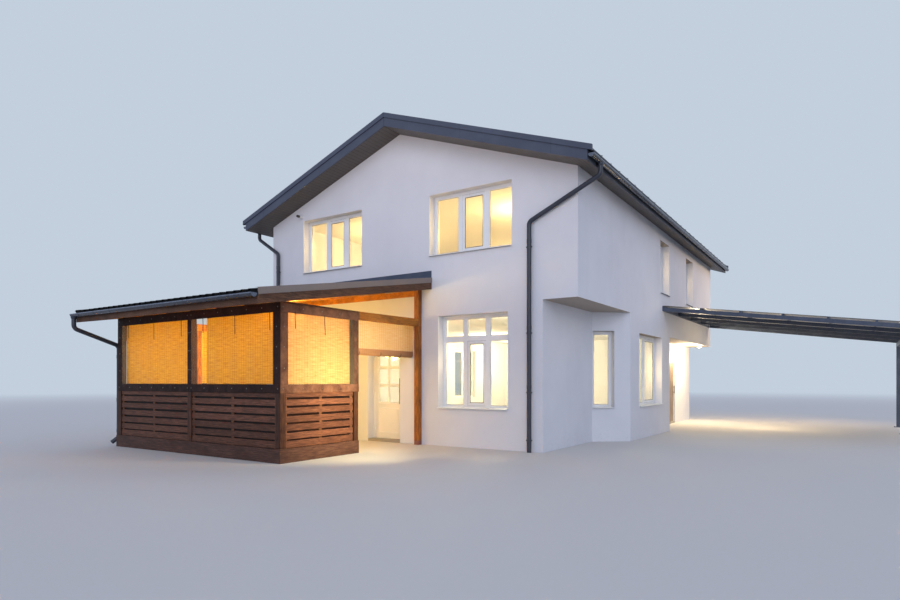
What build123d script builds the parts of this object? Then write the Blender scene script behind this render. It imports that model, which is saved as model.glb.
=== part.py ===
from build123d import *
import os
from math import atan2, cos, degrees, radians, tan

os.makedirs("parts", exist_ok=True)

# Millimetres. The origin is the centre of the main block's plan, on the ground.
# +X is to the right of the entrance gable, +Y towards the back, +Z up.
TOUCH = 0.3
DOOR_GAP = 5
CLOSING_GAP = 10
HINGE_GAP = 1

# Main block
HOUSE_WIDTH = 8600
HOUSE_LENGTH = 12700
WALL = 400
FLOOR_TOP = 60
GROUND_CEILING = 3030
UPPER_SLAB = 250
EAVE_Z = 5530
ROOF_RISE = 1540
CEILING_Z = 5590
CEILING_THICKNESS = 80

# Ground floor set back under the overhanging right side
RECESS_DEPTH = 730
CORNER_RECESS_LENGTH = 2700
OBLIQUE_LENGTH = 560
BAY_END = 6885
PORCH_HEAD = 2660

# Main roof
SOFFIT = 20
ROOF_THICKNESS = 210
EAVE_OVERHANG = 380
DRIP = 120
DRIP_THICKNESS = 25
FRONT_OVERHANG = 550
REAR_OVERHANG = 600
BARGE_THICKNESS = 28
BARGE_LOWER_HEIGHT = 190
BARGE_UPPER_STEP = 22
BARGE_RISE = 65
RIDGE_CAP_WIDTH = 180
RIDGE_CAP_THICKNESS = 80
BOARD_JOINT = 3

# Rainwater goods
GUTTER_RADIUS = 62
GUTTER_WALL = 4
GUTTER_RIM = 110
TERRACE_GUTTER_DROP = 90
PIPE_RADIUS = 45
PIPE_STANDOFF = 30
PIPE_BEND = 110
RIGHT_PIPE_INSET = 990
LEFT_PIPE_INSET = 270
PIPE_TOP_Z = 5250
RIGHT_KNEE_Z = 4580
LEFT_KNEE_Z = 4780
TERRACE_PIPE_TOP_Z = 2510
TERRACE_PIPE_KNEE_Z = 2190
SHOE_Z = 190
SHOE_OUT = 100
SHOE_END_Z = 80

# Windows
REVEAL = 200
FRAME_DEPTH = 70
FRAME_FACE = 65
MULLION_FACE = 95
PANE = 24
SILL_OUT = 45
SILL_THICKNESS = 30
UPPER_SILL_Z = 4175
UPPER_HEAD_Z = 5530
GROUND_SILL_Z = 820
GROUND_HEAD_Z = 2845
GABLE_WINDOW_WIDTH = 2050
GABLE_WINDOW_X = 830
SMALL_GABLE_WINDOW_WIDTH = 1985
SMALL_GABLE_WINDOW_X = -3145
PICTURE_WINDOW_WIDTH = 1725
PICTURE_WINDOW_X = 1065
TRANSOM_Z = 2330
SIDE_SILL_Z = 785
SIDE_HEAD_Z = 2595
OBLIQUE_WINDOW_WIDTH = 510
OBLIQUE_WINDOW_START = 25
BAY_WINDOW_WIDTH = 2080
BAY_WINDOW_START = 3980
NARROW_WINDOW_WIDTH = 940
NARROW_SILL_Z = 3810
NARROW_HEAD_Z = 5240
NARROW_WINDOW_STARTS = (5900, 8880)
LEFT_GROUND_WINDOW_STARTS = (2400, 8300)
LEFT_GROUND_WINDOW_WIDTH = 1500

# Doors
TERRACE_DOOR_X = -965
TERRACE_DOOR_WIDTH = 965
TERRACE_DOOR_HEAD = 2845
DOOR_FRAME_FACE = 60
DOOR_TRANSOM_Z = 2260
LEAF = 68
LEAF_RAIL = 105
LEAF_PANEL_TOP = 900
ENTRANCE_START = 9500
ENTRANCE_WIDTH = 1040
ENTRANCE_REVEAL = 30
ENTRANCE_HEAD = 2290
KNUCKLE_RADIUS = 11
KNUCKLE_HEIGHT = 50
FLAP_WIDTH = 28
FLAP_THICKNESS = 6
HINGE_INSET = 250
HANDLE_RADIUS = 14
HANDLE_STEM_RADIUS = 11
HANDLE_STANDOFF = 48
TERRACE_HANDLE_LOW = 880
TERRACE_HANDLE_HIGH = 1480
ENTRANCE_HANDLE_LOW = 1000
ENTRANCE_HANDLE_HIGH = 1260

# Terrace
TERRACE_RIGHT = 500
TERRACE_LEFT = -4700
TERRACE_FRONT = -10290
POST = 120
WALL_POST_SHIFT = 115
FOOTING_HEIGHT = 90
BEAM_BOTTOM = 2640
BEAM_TOP = 2800
LEDGER_BOTTOM = 3320
LEDGER_THICKNESS = 50
PARAPET_TOP = 1360
PARAPET_THICKNESS = 60
PARAPET_INSET = 15
PARAPET_END_Y = -8320
BASE_BOARD = 25
BASE_BOARD_TOP = 250
TERRACE_ROOF_RIGHT = 890
TERRACE_ROOF_LEFT = -4840
TERRACE_ROOF_FRONT = -11080
TERRACE_EAVE_TOP = 2890
TERRACE_WALL_TOP = 3700
TERRACE_SHEET = 55
RAFTER_DEPTH = 190
RAFTER_WIDTH = 60
TERRACE_RAFTERS = 7
RAFTER_END_INSET = 130
TERRACE_BARGE_DEPTH = 195
TERRACE_BARGE_THICKNESS = 28
VERGE_HEIGHT = 115
VERGE_THICKNESS = 12
APRON_HEIGHT = 170
SOFT_SHEET = 4
SOFT_JOINT = 1
SOFT_LOW = 1210
SOFT_HIGH = 2770
REED = 10
REED_INSET = 95
BLIND_LOW = 2000
BLIND_HIGH = 2760
BLIND_PAST_POST = 60
BLIND_ROLL_RADIUS = 60

# Canopy over the drive on the right
CANOPY_START = 6100
CANOPY_REAR_INSET = 300
CANOPY_WALL_TOP = 3500
CANOPY_FALL = 0.135
CANOPY_OUT = 5800
CANOPY_SHEET = 22
PURLIN = 45
CANOPY_RAFTER_DEPTH = 100
CANOPY_RAFTER_WIDTH = 60
CANOPY_RAFTERS = 5
CANOPY_PURLINS = 7
CANOPY_BEAM = 120
CANOPY_POST = 100
CANOPY_POST_INSET = 250
CANOPY_POSTS = 3
BASE_PLATE = 12
BASE_PLATE_SIZE = 220

# Small fittings
LAMP_RADIUS = 75
LAMP_HEIGHT = 60
CAMERA_BODY_RADIUS = 32
CAMERA_BODY_LENGTH = 130
CAMERA_MOUNT_RADIUS = 45
CAMERA_MOUNT_DEPTH = 45
CAMERA_LEFT_OF_WINDOW = 55
CAMERA_OVER_WINDOW = 110
TERRACE_LAMP_INSET = 335
TERRACE_LAMP_RISE = 30
PORCH_LAMP_INSET = 250
PORCH_LAMP_FROM_BACK = 650

# Lines that follow from the driving dimensions
RIGHT = HOUSE_WIDTH / 2
LEFT = -RIGHT
FRONT = -HOUSE_LENGTH / 2
BACK = HOUSE_LENGTH / 2
IN_RIGHT, IN_LEFT = RIGHT - WALL, LEFT + WALL
IN_FRONT, IN_BACK = FRONT + WALL, BACK - WALL
RECESS_X = RIGHT - RECESS_DEPTH
IN_RECESS_X = RECESS_X - WALL
RECESS_END_Y = FRONT + CORNER_RECESS_LENGTH
OBLIQUE_END_Y = RECESS_END_Y + OBLIQUE_LENGTH
BAY_END_Y = FRONT + BAY_END
UPPER_FLOOR_TOP = GROUND_CEILING + UPPER_SLAB
ROOF_SLOPE = ROOF_RISE / RIGHT
TERRACE_SLOPE = (TERRACE_WALL_TOP - TERRACE_EAVE_TOP) / (FRONT - TERRACE_ROOF_FRONT)
OBLIQUE_ANGLE = atan2(OBLIQUE_LENGTH, RECESS_DEPTH)


def block(x0, x1, y0, y1, z0, z1):
    """A box between two opposite corners."""
    return Pos(x0, y0, z0) * Box(x1 - x0, y1 - y0, z1 - z0, align=(Align.MIN,) * 3)


def prism(points, travel):
    """A closed outline of 3-D points, pushed along a vector."""
    return Solid.extrude(Face(Wire.make_polygon([Vector(*p) for p in points], close=True)), Vector(*travel))


def plan_prism(points, z0, z1):
    """A plan outline raised from z0 to z1."""
    return prism([(x, y, z0) for x, y in points], (0, 0, z1 - z0))


def rod(start, end, radius):
    """A round bar between two points."""
    a, b = Vector(*start), Vector(*end)
    return Solid.make_cylinder(radius, (b - a).length, Plane(origin=a, z_dir=b - a))


def save(name, *solids):
    """Write one sub-part, whose solids don't touch."""
    whole = [s for part in solids for s in part.solids()]
    export_step(Compound(children=whole) if len(whole) > 1 else whole[0], f"parts/{name}.step")


def roof_line(x):
    """Underside of the roof boards: the tops of the walls."""
    return EAVE_Z + ROOF_RISE - abs(x) * ROOF_SLOPE + SOFFIT


# Placements of the wall faces: local x runs along the wall seen from outside,
# local y goes into the house, z is up from the ground.
FRONT_FACE = Pos(0, FRONT, 0)
BACK_FACE = Pos(0, BACK, 0) * Rot(0, 0, 180)
RIGHT_FACE = Pos(RIGHT, FRONT, 0) * Rot(0, 0, 90)
LEFT_FACE = Pos(LEFT, BACK, 0) * Rot(0, 0, -90)
PORCH_FACE = Pos(RECESS_X, FRONT, 0) * Rot(0, 0, 90)
OBLIQUE_FACE = Pos(RECESS_X, RECESS_END_Y, 0) * Rot(0, 0, degrees(OBLIQUE_ANGLE))

# Each window: wall face, start along the wall, width, sill, head, columns,
# height of a transom or none.
FRONT_UPPER_WINDOWS = [
    (FRONT_FACE, GABLE_WINDOW_X, GABLE_WINDOW_WIDTH, UPPER_SILL_Z, UPPER_HEAD_Z, 3, None),
    (FRONT_FACE, SMALL_GABLE_WINDOW_X, SMALL_GABLE_WINDOW_WIDTH, UPPER_SILL_Z, UPPER_HEAD_Z, 3, None),
]
PICTURE_WINDOW = (
    FRONT_FACE, PICTURE_WINDOW_X, PICTURE_WINDOW_WIDTH, GROUND_SILL_Z, GROUND_HEAD_Z, 3, TRANSOM_Z)
OBLIQUE_WINDOW = (
    OBLIQUE_FACE, OBLIQUE_WINDOW_START, OBLIQUE_WINDOW_WIDTH, SIDE_SILL_Z, SIDE_HEAD_Z, 1, None)
BAY_WINDOW = (RIGHT_FACE, BAY_WINDOW_START, BAY_WINDOW_WIDTH, SIDE_SILL_Z, SIDE_HEAD_Z, 2, None)
RIGHT_UPPER_WINDOWS = [
    (RIGHT_FACE, s, NARROW_WINDOW_WIDTH, NARROW_SILL_Z, NARROW_HEAD_Z, 1, None) for s in NARROW_WINDOW_STARTS
]
LEFT_WINDOWS = [
    (LEFT_FACE, HOUSE_LENGTH - s - NARROW_WINDOW_WIDTH, NARROW_WINDOW_WIDTH,
     NARROW_SILL_Z, NARROW_HEAD_Z, 1, None)
    for s in NARROW_WINDOW_STARTS
] + [
    (LEFT_FACE, HOUSE_LENGTH - s - LEFT_GROUND_WINDOW_WIDTH, LEFT_GROUND_WINDOW_WIDTH,
     SIDE_SILL_Z, SIDE_HEAD_Z, 2, None)
    for s in LEFT_GROUND_WINDOW_STARTS
]
BACK_UPPER_WINDOWS = [
    (BACK_FACE, -x - w, w, sill, head, n, t) for _, x, w, sill, head, n, t in FRONT_UPPER_WINDOWS
]
BACK_GROUND_WINDOWS = [
    (BACK_FACE, -x - PICTURE_WINDOW_WIDTH, PICTURE_WINDOW_WIDTH, GROUND_SILL_Z, GROUND_HEAD_Z, 3, TRANSOM_Z)
    for x in (PICTURE_WINDOW_X, SMALL_GABLE_WINDOW_X)
]
ALL_WINDOWS = (FRONT_UPPER_WINDOWS + [PICTURE_WINDOW, OBLIQUE_WINDOW, BAY_WINDOW] + RIGHT_UPPER_WINDOWS
               + LEFT_WINDOWS + BACK_UPPER_WINDOWS + BACK_GROUND_WINDOWS)


def cut_windows(wall, windows):
    """Cut each window's hole through a wall."""
    for face, start, width, sill, head, _, _ in windows:
        wall = wall - face * block(start, start + width, -WALL, 2 * WALL, sill, head)
    return wall


def pane_boxes(start, width, sill, head, columns, transom, y0, y1):
    """The glazed openings of one window, in its wall's own axes."""
    clear = width - 2 * FRAME_FACE - (columns - 1) * MULLION_FACE
    rows = [(sill + FRAME_FACE, head - FRAME_FACE)]
    if transom:
        rows = [(sill + FRAME_FACE, transom - MULLION_FACE / 2),
                (transom + MULLION_FACE / 2, head - FRAME_FACE)]
    boxes = []
    for column in range(columns):
        x0 = start + FRAME_FACE + column * (clear / columns + MULLION_FACE)
        boxes += [block(x0, x0 + clear / columns, y0, y1, z0, z1) for z0, z1 in rows]
    return boxes


def window_frame(face, start, width, sill, head, columns, transom):
    """Outer frame, mullions and transom as one piece."""
    frame = block(start, start + width, REVEAL, REVEAL + FRAME_DEPTH, sill, head)
    for hole in pane_boxes(start, width, sill, head, columns, transom, 0, WALL):
        frame = frame - hole
    return face * frame


def window_panes(face, start, width, sill, head, columns, transom):
    """Double glazing, seated in the middle of the frame."""
    y0 = REVEAL + (FRAME_DEPTH - PANE) / 2
    return [face * p for p in pane_boxes(start, width, sill, head, columns, transom, y0, y0 + PANE)]


def window_sill(face, start, width, sill, *_):
    """Outer sill on the reveal's bottom, with its nose past the wall."""
    return face * block(start, start + width, -SILL_OUT, REVEAL, sill, sill + SILL_THICKNESS)


# Ground floor: slab and walls
terrace_door_right = TERRACE_DOOR_X + TERRACE_DOOR_WIDTH
entrance_y0 = FRONT + ENTRANCE_START
entrance_y1 = entrance_y0 + ENTRANCE_WIDTH


def oblique_inner(x):
    """Where the inner face of the oblique wall meets a line of constant x."""
    return RECESS_END_Y + WALL / cos(OBLIQUE_ANGLE) + (x - RECESS_X) * tan(OBLIQUE_ANGLE)


bay_floor = [(IN_RECESS_X, oblique_inner(IN_RECESS_X)), (IN_RIGHT, oblique_inner(IN_RIGHT)),
             (IN_RIGHT, BAY_END_Y - WALL), (IN_RECESS_X, BAY_END_Y - WALL)]
ground_slab = (block(IN_LEFT, IN_RECESS_X, IN_FRONT, IN_BACK, 0, FLOOR_TOP)
               + plan_prism(bay_floor, 0, FLOOR_TOP)
               + block(TERRACE_DOOR_X, terrace_door_right, FRONT, IN_FRONT, 0, FLOOR_TOP)
               + block(IN_RECESS_X, RECESS_X, entrance_y0, entrance_y1, 0, FLOOR_TOP))
save("ground_slab", ground_slab)

save("front_wall_left", block(LEFT, TERRACE_DOOR_X, FRONT, IN_FRONT, 0, GROUND_CEILING))
front_wall_right = block(terrace_door_right, RECESS_X, FRONT, IN_FRONT, 0, GROUND_CEILING)
save("front_wall_right", cut_windows(front_wall_right, [PICTURE_WINDOW]))
save("walls_over_doors",
     block(TERRACE_DOOR_X, terrace_door_right, FRONT, IN_FRONT, TERRACE_DOOR_HEAD, GROUND_CEILING),
     block(IN_RECESS_X, RECESS_X, entrance_y0, entrance_y1, ENTRANCE_HEAD, GROUND_CEILING))

corner_recess_wall = plan_prism(
    [(IN_RECESS_X, IN_FRONT), (RECESS_X, IN_FRONT), (RECESS_X, RECESS_END_Y),
     (IN_RECESS_X, oblique_inner(IN_RECESS_X))], 0, GROUND_CEILING)
save("corner_recess_wall", corner_recess_wall)
bay_oblique_wall = plan_prism(
    [(RECESS_X, RECESS_END_Y), (RIGHT, OBLIQUE_END_Y), (IN_RIGHT, oblique_inner(IN_RIGHT)),
     (IN_RECESS_X, oblique_inner(IN_RECESS_X))], 0, GROUND_CEILING)
save("bay_oblique_wall", cut_windows(bay_oblique_wall, [OBLIQUE_WINDOW]))
bay_side_wall = plan_prism(
    [(RIGHT, OBLIQUE_END_Y), (RIGHT, BAY_END_Y), (IN_RIGHT, BAY_END_Y), (IN_RIGHT, oblique_inner(IN_RIGHT))],
    0, GROUND_CEILING)
save("bay_side_wall", cut_windows(bay_side_wall, [BAY_WINDOW]))
save("bay_return_wall", block(IN_RECESS_X, IN_RIGHT, BAY_END_Y - WALL, BAY_END_Y, 0, GROUND_CEILING))
save("porch_walls",
     block(IN_RECESS_X, RECESS_X, BAY_END_Y, entrance_y0, 0, GROUND_CEILING),
     block(IN_RECESS_X, RECESS_X, entrance_y1, IN_BACK, 0, GROUND_CEILING))
rear_wall = block(IN_LEFT, RECESS_X, IN_BACK, BACK, 0, GROUND_CEILING)
save("rear_wall", cut_windows(rear_wall, BACK_GROUND_WINDOWS))
save("porch_soffit", block(RECESS_X, RIGHT, BAY_END_Y, BACK, PORCH_HEAD, GROUND_CEILING))

# Upper floor: slab, side walls up to the roof, gables and ceiling
save("upper_floor_slab", block(IN_LEFT, RIGHT, FRONT, BACK, GROUND_CEILING, UPPER_FLOOR_TOP))


def side_wall(outer, inner, z0):
    """A long wall whose top follows the roof."""
    outline = [(outer, 0, z0), (inner, 0, z0), (inner, 0, roof_line(inner)), (outer, 0, roof_line(outer))]
    return prism([(x, IN_FRONT, z) for x, _, z in outline], (0, IN_BACK - IN_FRONT, 0))


left_wall = side_wall(LEFT, IN_LEFT, 0) + block(LEFT, IN_LEFT, IN_BACK, BACK, 0, UPPER_FLOOR_TOP)
left_wall = left_wall + block(LEFT, IN_LEFT, FRONT, IN_FRONT, GROUND_CEILING, UPPER_FLOOR_TOP)
save("left_wall", cut_windows(left_wall, LEFT_WINDOWS))
save("upper_right_wall", cut_windows(side_wall(RIGHT, IN_RIGHT, UPPER_FLOOR_TOP), RIGHT_UPPER_WINDOWS))


def gable(y):
    """An end wall of the upper floor, from its slab to the ridge."""
    outline = [(LEFT, UPPER_FLOOR_TOP), (RIGHT, UPPER_FLOOR_TOP), (RIGHT, roof_line(RIGHT)),
               (0, roof_line(0)), (LEFT, roof_line(LEFT))]
    return prism([(x, y, z) for x, z in outline], (0, WALL, 0))


save("front_gable", cut_windows(gable(FRONT), FRONT_UPPER_WINDOWS))
save("rear_gable", cut_windows(gable(IN_BACK), BACK_UPPER_WINDOWS))
save("upper_ceiling", block(IN_LEFT, IN_RIGHT, IN_FRONT, IN_BACK, CEILING_Z, CEILING_Z + CEILING_THICKNESS))

# Main roof: two slopes, boarded soffits, barge boards, fascias and ridge cap
roof_front = FRONT - FRONT_OVERHANG
roof_back = BACK + REAR_OVERHANG
roof_edge = RIGHT + EAVE_OVERHANG


def sloped_strip(x0, x1, y0, y1, low, high):
    """A strip parallel to the roof, between two heights over its line."""
    outline = [(x0, roof_line(x0) + low), (x1, roof_line(x1) + low),
               (x1, roof_line(x1) + high), (x0, roof_line(x0) + high)]
    return prism([(x, y0, z) for x, z in outline], (0, y1 - y0, 0))


sheet_low = ROOF_THICKNESS - DRIP_THICKNESS
for name, side in (("roof_left", -1), ("roof_right", 1)):
    slope = sloped_strip(0, side * roof_edge, roof_front, roof_back, 0, ROOF_THICKNESS)
    drip = sloped_strip(side * roof_edge, side * (roof_edge + DRIP), roof_front, roof_back,
                        sheet_low, ROOF_THICKNESS)
    save(name, slope + drip)
soffits = []
for side in (-1, 1):
    soffits.append(sloped_strip(side * RIGHT, side * roof_edge, FRONT, BACK, -SOFFIT, 0))
    for y0, y1 in ((roof_front, FRONT - BOARD_JOINT), (BACK + BOARD_JOINT, roof_back)):
        soffits.append(sloped_strip(side * BOARD_JOINT, side * roof_edge, y0, y1, -SOFFIT, 0))
save("soffits", *soffits)

barge_top = ROOF_THICKNESS + BARGE_RISE
ridge_top = ROOF_THICKNESS + RIDGE_CAP_THICKNESS


def barge_board(side, y, outward):
    """Lower board with a taller cap strip that stands out over it."""
    low_y = sorted((y, y + outward * BARGE_THICKNESS))
    cap_y = sorted((y, y + outward * (BARGE_THICKNESS + BARGE_UPPER_STEP)))
    split = BARGE_LOWER_HEIGHT - SOFFIT
    lower = sloped_strip(side * BOARD_JOINT, side * (roof_edge + BARGE_THICKNESS), *low_y, -SOFFIT, split)
    return lower + sloped_strip(side * BOARD_JOINT, side * (roof_edge + DRIP), *cap_y, split, barge_top)


save("barge_boards_left", barge_board(-1, roof_front, -1), barge_board(-1, roof_back, 1))
save("barge_boards_right", barge_board(1, roof_front, -1), barge_board(1, roof_back, 1))
save("eave_fascias", *[
    sloped_strip(side * roof_edge, side * (roof_edge + BARGE_THICKNESS), roof_front, roof_back,
                 -SOFFIT, sheet_low)
    for side in (-1, 1)])
ridge_cap = (sloped_strip(0, RIDGE_CAP_WIDTH, roof_front, roof_back, ROOF_THICKNESS, ridge_top)
             + sloped_strip(-RIDGE_CAP_WIDTH, 0, roof_front, roof_back, ROOF_THICKNESS, ridge_top))
save("ridge_cap", ridge_cap)


# Rainwater goods
def gutter(axis_start, axis_end):
    """A half-round trough, open upwards, with closed ends."""
    a, b = Vector(*axis_start), Vector(*axis_end)
    trough = rod(axis_start, axis_end, GUTTER_RADIUS)
    step = (b - a).normalized() * GUTTER_WALL
    trough = trough - rod(tuple(a + step), tuple(b - step), GUTTER_RADIUS - GUTTER_WALL)
    r = 2 * GUTTER_RADIUS
    lid = block(min(a.X, b.X) - r, max(a.X, b.X) + r, min(a.Y, b.Y) - r, max(a.Y, b.Y) + r, a.Z, a.Z + r)
    return trough - lid


gutter_x = roof_edge + BARGE_THICKNESS + GUTTER_RADIUS
gutter_z = roof_line(roof_edge) - SOFFIT + GUTTER_RIM
terrace_gutter_y = TERRACE_ROOF_FRONT - VERGE_THICKNESS - GUTTER_RADIUS
terrace_gutter_z = TERRACE_EAVE_TOP - TERRACE_GUTTER_DROP
save("gutters",
     gutter((gutter_x, roof_front, gutter_z), (gutter_x, roof_back, gutter_z)),
     gutter((-gutter_x, roof_front, gutter_z), (-gutter_x, roof_back, gutter_z)),
     gutter((TERRACE_ROOF_LEFT, terrace_gutter_y, terrace_gutter_z),
            (TERRACE_ROOF_RIGHT, terrace_gutter_y, terrace_gutter_z)))


def pipe_run(points, radius, bend):
    """Straight lengths and elbows along a route, each a solid of its own."""
    route = [Vector(*p) for p in points]
    solids, start = [], route[0]
    for before, corner, after in zip(route, route[1:], route[2:]):
        into, out = (corner - before).normalized(), (after - corner).normalized()
        turn = radians(into.get_angle(out))
        cut = bend * tan(turn / 2)
        enter, leave = corner - into * cut, corner + out * cut
        solids.append(rod(tuple(start), tuple(enter - into * TOUCH), radius))
        arc = ThreePointArc(enter, corner + (out - into).normalized() * (bend / cos(turn / 2) - bend), leave)
        solids.append(Solid.sweep(Face(Wire.make_circle(radius, Plane(origin=enter, z_dir=into))), arc))
        start = leave + out * TOUCH
    solids.append(rod(tuple(start), tuple(route[-1]), radius))
    return solids


pipe_y = FRONT - PIPE_STANDOFF - PIPE_RADIUS
outlet_z = gutter_z - GUTTER_RADIUS - TOUCH
right_pipe_x = RIGHT - RIGHT_PIPE_INSET
left_pipe_x = LEFT + LEFT_PIPE_INSET
outlet_x = TERRACE_ROOF_LEFT + PIPE_RADIUS + GUTTER_WALL
terrace_outlet_z = terrace_gutter_z - GUTTER_RADIUS - TOUCH
post_pipe_x = TERRACE_LEFT - PIPE_STANDOFF - PIPE_RADIUS
post_pipe_y = TERRACE_FRONT + POST / 2
save("downpipes",
     *pipe_run([(gutter_x, pipe_y, outlet_z), (gutter_x, pipe_y, PIPE_TOP_Z),
                (right_pipe_x, pipe_y, RIGHT_KNEE_Z), (right_pipe_x, pipe_y, 0)], PIPE_RADIUS, PIPE_BEND),
     *pipe_run([(-gutter_x, pipe_y, outlet_z), (-gutter_x, pipe_y, PIPE_TOP_Z),
                (left_pipe_x, pipe_y, LEFT_KNEE_Z), (left_pipe_x, pipe_y, TERRACE_WALL_TOP)],
               PIPE_RADIUS, PIPE_BEND),
     *pipe_run([(outlet_x, terrace_gutter_y, terrace_outlet_z),
                (outlet_x, terrace_gutter_y, TERRACE_PIPE_TOP_Z),
                (post_pipe_x, post_pipe_y, TERRACE_PIPE_KNEE_Z), (post_pipe_x, post_pipe_y, SHOE_Z),
                (post_pipe_x - SHOE_OUT, post_pipe_y - SHOE_OUT, SHOE_END_Z)], PIPE_RADIUS, PIPE_BEND))

# Windows
save("window_frames", *[window_frame(*w) for w in ALL_WINDOWS])
save("window_glass", *[p for w in ALL_WINDOWS for p in window_panes(*w)])
save("window_sills", *[window_sill(*w) for w in ALL_WINDOWS])


# Doors, in the axes of their wall face
def door_frame(face, start, width, reveal, head, transom):
    """Two jambs, a head and, over a toplight, a transom."""
    frame = block(start, start + width, reveal, reveal + FRAME_DEPTH, FLOOR_TOP, head)
    inside = (start + DOOR_FRAME_FACE, start + width - DOOR_FRAME_FACE)
    leaf_head = transom or head - DOOR_FRAME_FACE
    frame = frame - block(*inside, 0, WALL, 0, leaf_head)
    if transom:
        frame = frame - block(*inside, 0, WALL, transom + DOOR_FRAME_FACE, head - DOOR_FRAME_FACE)
    return face * frame, leaf_head


def leaf_box(start, width, leaf_head):
    """Limits of a leaf: its running gap is wider where the lock side swings past."""
    return (start + DOOR_FRAME_FACE + DOOR_GAP, start + width - DOOR_FRAME_FACE - CLOSING_GAP,
            FLOOR_TOP + DOOR_GAP, leaf_head - DOOR_GAP)


def hinge_knuckles(face, axis_x, axis_y, reveal, z0, z1, on_frame):
    """Barrels on the hinge axis with their flaps: the frame's stand under the leaf's."""
    side = -1 if on_frame else 1
    barrels = []
    for z in (z0 + HINGE_INSET, (z0 + z1) / 2, z1 - HINGE_INSET):
        base = z - KNUCKLE_HEIGHT if on_frame else z + TOUCH
        top = base + KNUCKLE_HEIGHT
        barrel = rod((axis_x, axis_y, base), (axis_x, axis_y, top), KNUCKLE_RADIUS)
        x0, x1 = sorted((axis_x, axis_x + side * FLAP_WIDTH))
        barrels.append(barrel + block(x0, x1, reveal - FLAP_THICKNESS, reveal, base, top))
    return [face * b for b in barrels]


def bar_handle(face, x, reveal, z0, z1):
    """An upright pull bar on two stand-offs."""
    y = reveal - HANDLE_STANDOFF
    bar = rod((x, y, z0), (x, y, z1), HANDLE_RADIUS)
    for z in (z0 + 3 * HANDLE_RADIUS, z1 - 3 * HANDLE_RADIUS):
        bar = bar + rod((x, y, z), (x, reveal, z), HANDLE_STEM_RADIUS)
    return face * bar


def door_hinge_axis(start, reveal):
    """Hinge axis beside the jamb at a leaf's left edge."""
    return start + DOOR_FRAME_FACE + DOOR_GAP / 2, reveal - KNUCKLE_RADIUS - HINGE_GAP


# Terrace door: half glazed leaf under a toplight
frame, leaf_head = door_frame(
    FRONT_FACE, TERRACE_DOOR_X, TERRACE_DOOR_WIDTH, REVEAL, TERRACE_DOOR_HEAD, DOOR_TRANSOM_Z)
x0, x1, z0, z1 = leaf_box(TERRACE_DOOR_X, TERRACE_DOOR_WIDTH, leaf_head)
hinge_x, hinge_y = door_hinge_axis(TERRACE_DOOR_X, REVEAL)
for barrel in hinge_knuckles(FRONT_FACE, hinge_x, hinge_y, REVEAL, z0, z1, True):
    frame = frame + barrel
save("terrace_door_frame", frame)
toplight_y = REVEAL + (FRAME_DEPTH - PANE) / 2
save("toplight_glass", FRONT_FACE * block(
    TERRACE_DOOR_X + DOOR_FRAME_FACE, terrace_door_right - DOOR_FRAME_FACE, toplight_y, toplight_y + PANE,
    DOOR_TRANSOM_Z + DOOR_FRAME_FACE, TERRACE_DOOR_HEAD - DOOR_FRAME_FACE))
glass_box = (x0 + LEAF_RAIL, x1 - LEAF_RAIL, LEAF_PANEL_TOP, z1 - LEAF_RAIL)
leaf = FRONT_FACE * (block(x0, x1, REVEAL, REVEAL + LEAF, z0, z1)
                     - block(glass_box[0], glass_box[1], 0, WALL, glass_box[2], glass_box[3]))
for barrel in hinge_knuckles(FRONT_FACE, hinge_x, hinge_y, REVEAL, z0, z1, False):
    leaf = leaf + barrel
save("terrace_door_leaf", leaf)
save("terrace_door_glass", FRONT_FACE * block(
    glass_box[0], glass_box[1], toplight_y, toplight_y + PANE, glass_box[2], glass_box[3]))
handle_x = x1 - LEAF_RAIL / 2
save("terrace_door_handle",
     bar_handle(FRONT_FACE, handle_x, REVEAL, TERRACE_HANDLE_LOW, TERRACE_HANDLE_HIGH))
print("terrace door hinge", hinge_x, FRONT + hinge_y)

# Entrance door: solid leaf in the porch
frame, leaf_head = door_frame(
    PORCH_FACE, ENTRANCE_START, ENTRANCE_WIDTH, ENTRANCE_REVEAL, ENTRANCE_HEAD, None)
x0, x1, z0, z1 = leaf_box(ENTRANCE_START, ENTRANCE_WIDTH, leaf_head)
hinge_x, hinge_y = door_hinge_axis(ENTRANCE_START, ENTRANCE_REVEAL)
for barrel in hinge_knuckles(PORCH_FACE, hinge_x, hinge_y, ENTRANCE_REVEAL, z0, z1, True):
    frame = frame + barrel
save("entrance_door_frame", frame)
leaf = PORCH_FACE * block(x0, x1, ENTRANCE_REVEAL, ENTRANCE_REVEAL + LEAF, z0, z1)
for barrel in hinge_knuckles(PORCH_FACE, hinge_x, hinge_y, ENTRANCE_REVEAL, z0, z1, False):
    leaf = leaf + barrel
save("entrance_door_leaf", leaf)
handle_x = x1 - LEAF_RAIL / 2
save("entrance_door_handle",
     bar_handle(PORCH_FACE, handle_x, ENTRANCE_REVEAL, ENTRANCE_HANDLE_LOW, ENTRANCE_HANDLE_HIGH))
print("entrance door hinge", RECESS_X - hinge_y, FRONT + hinge_x)

# Terrace: posts, ring beam, parapets
inner_right = TERRACE_RIGHT - POST
inner_left = TERRACE_LEFT + POST
inner_front = TERRACE_FRONT + POST
middle = (TERRACE_LEFT + TERRACE_RIGHT) / 2
middle_post_y = PARAPET_END_Y - POST
wall_post_x = inner_right + WALL_POST_SHIFT
wall_post_y = FRONT - POST


def terrace_strip(x0, x1, y0, y1, low, high):
    """A strip parallel to the terrace roof, between two heights under its top."""
    def top(y):
        return TERRACE_EAVE_TOP + (y - TERRACE_ROOF_FRONT) * TERRACE_SLOPE
    outline = [(y0, top(y0) + low), (y1, top(y1) + low), (y1, top(y1) + high), (y0, top(y0) + high)]
    return prism([(x0, y, z) for y, z in outline], (x1 - x0, 0, 0))


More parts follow.
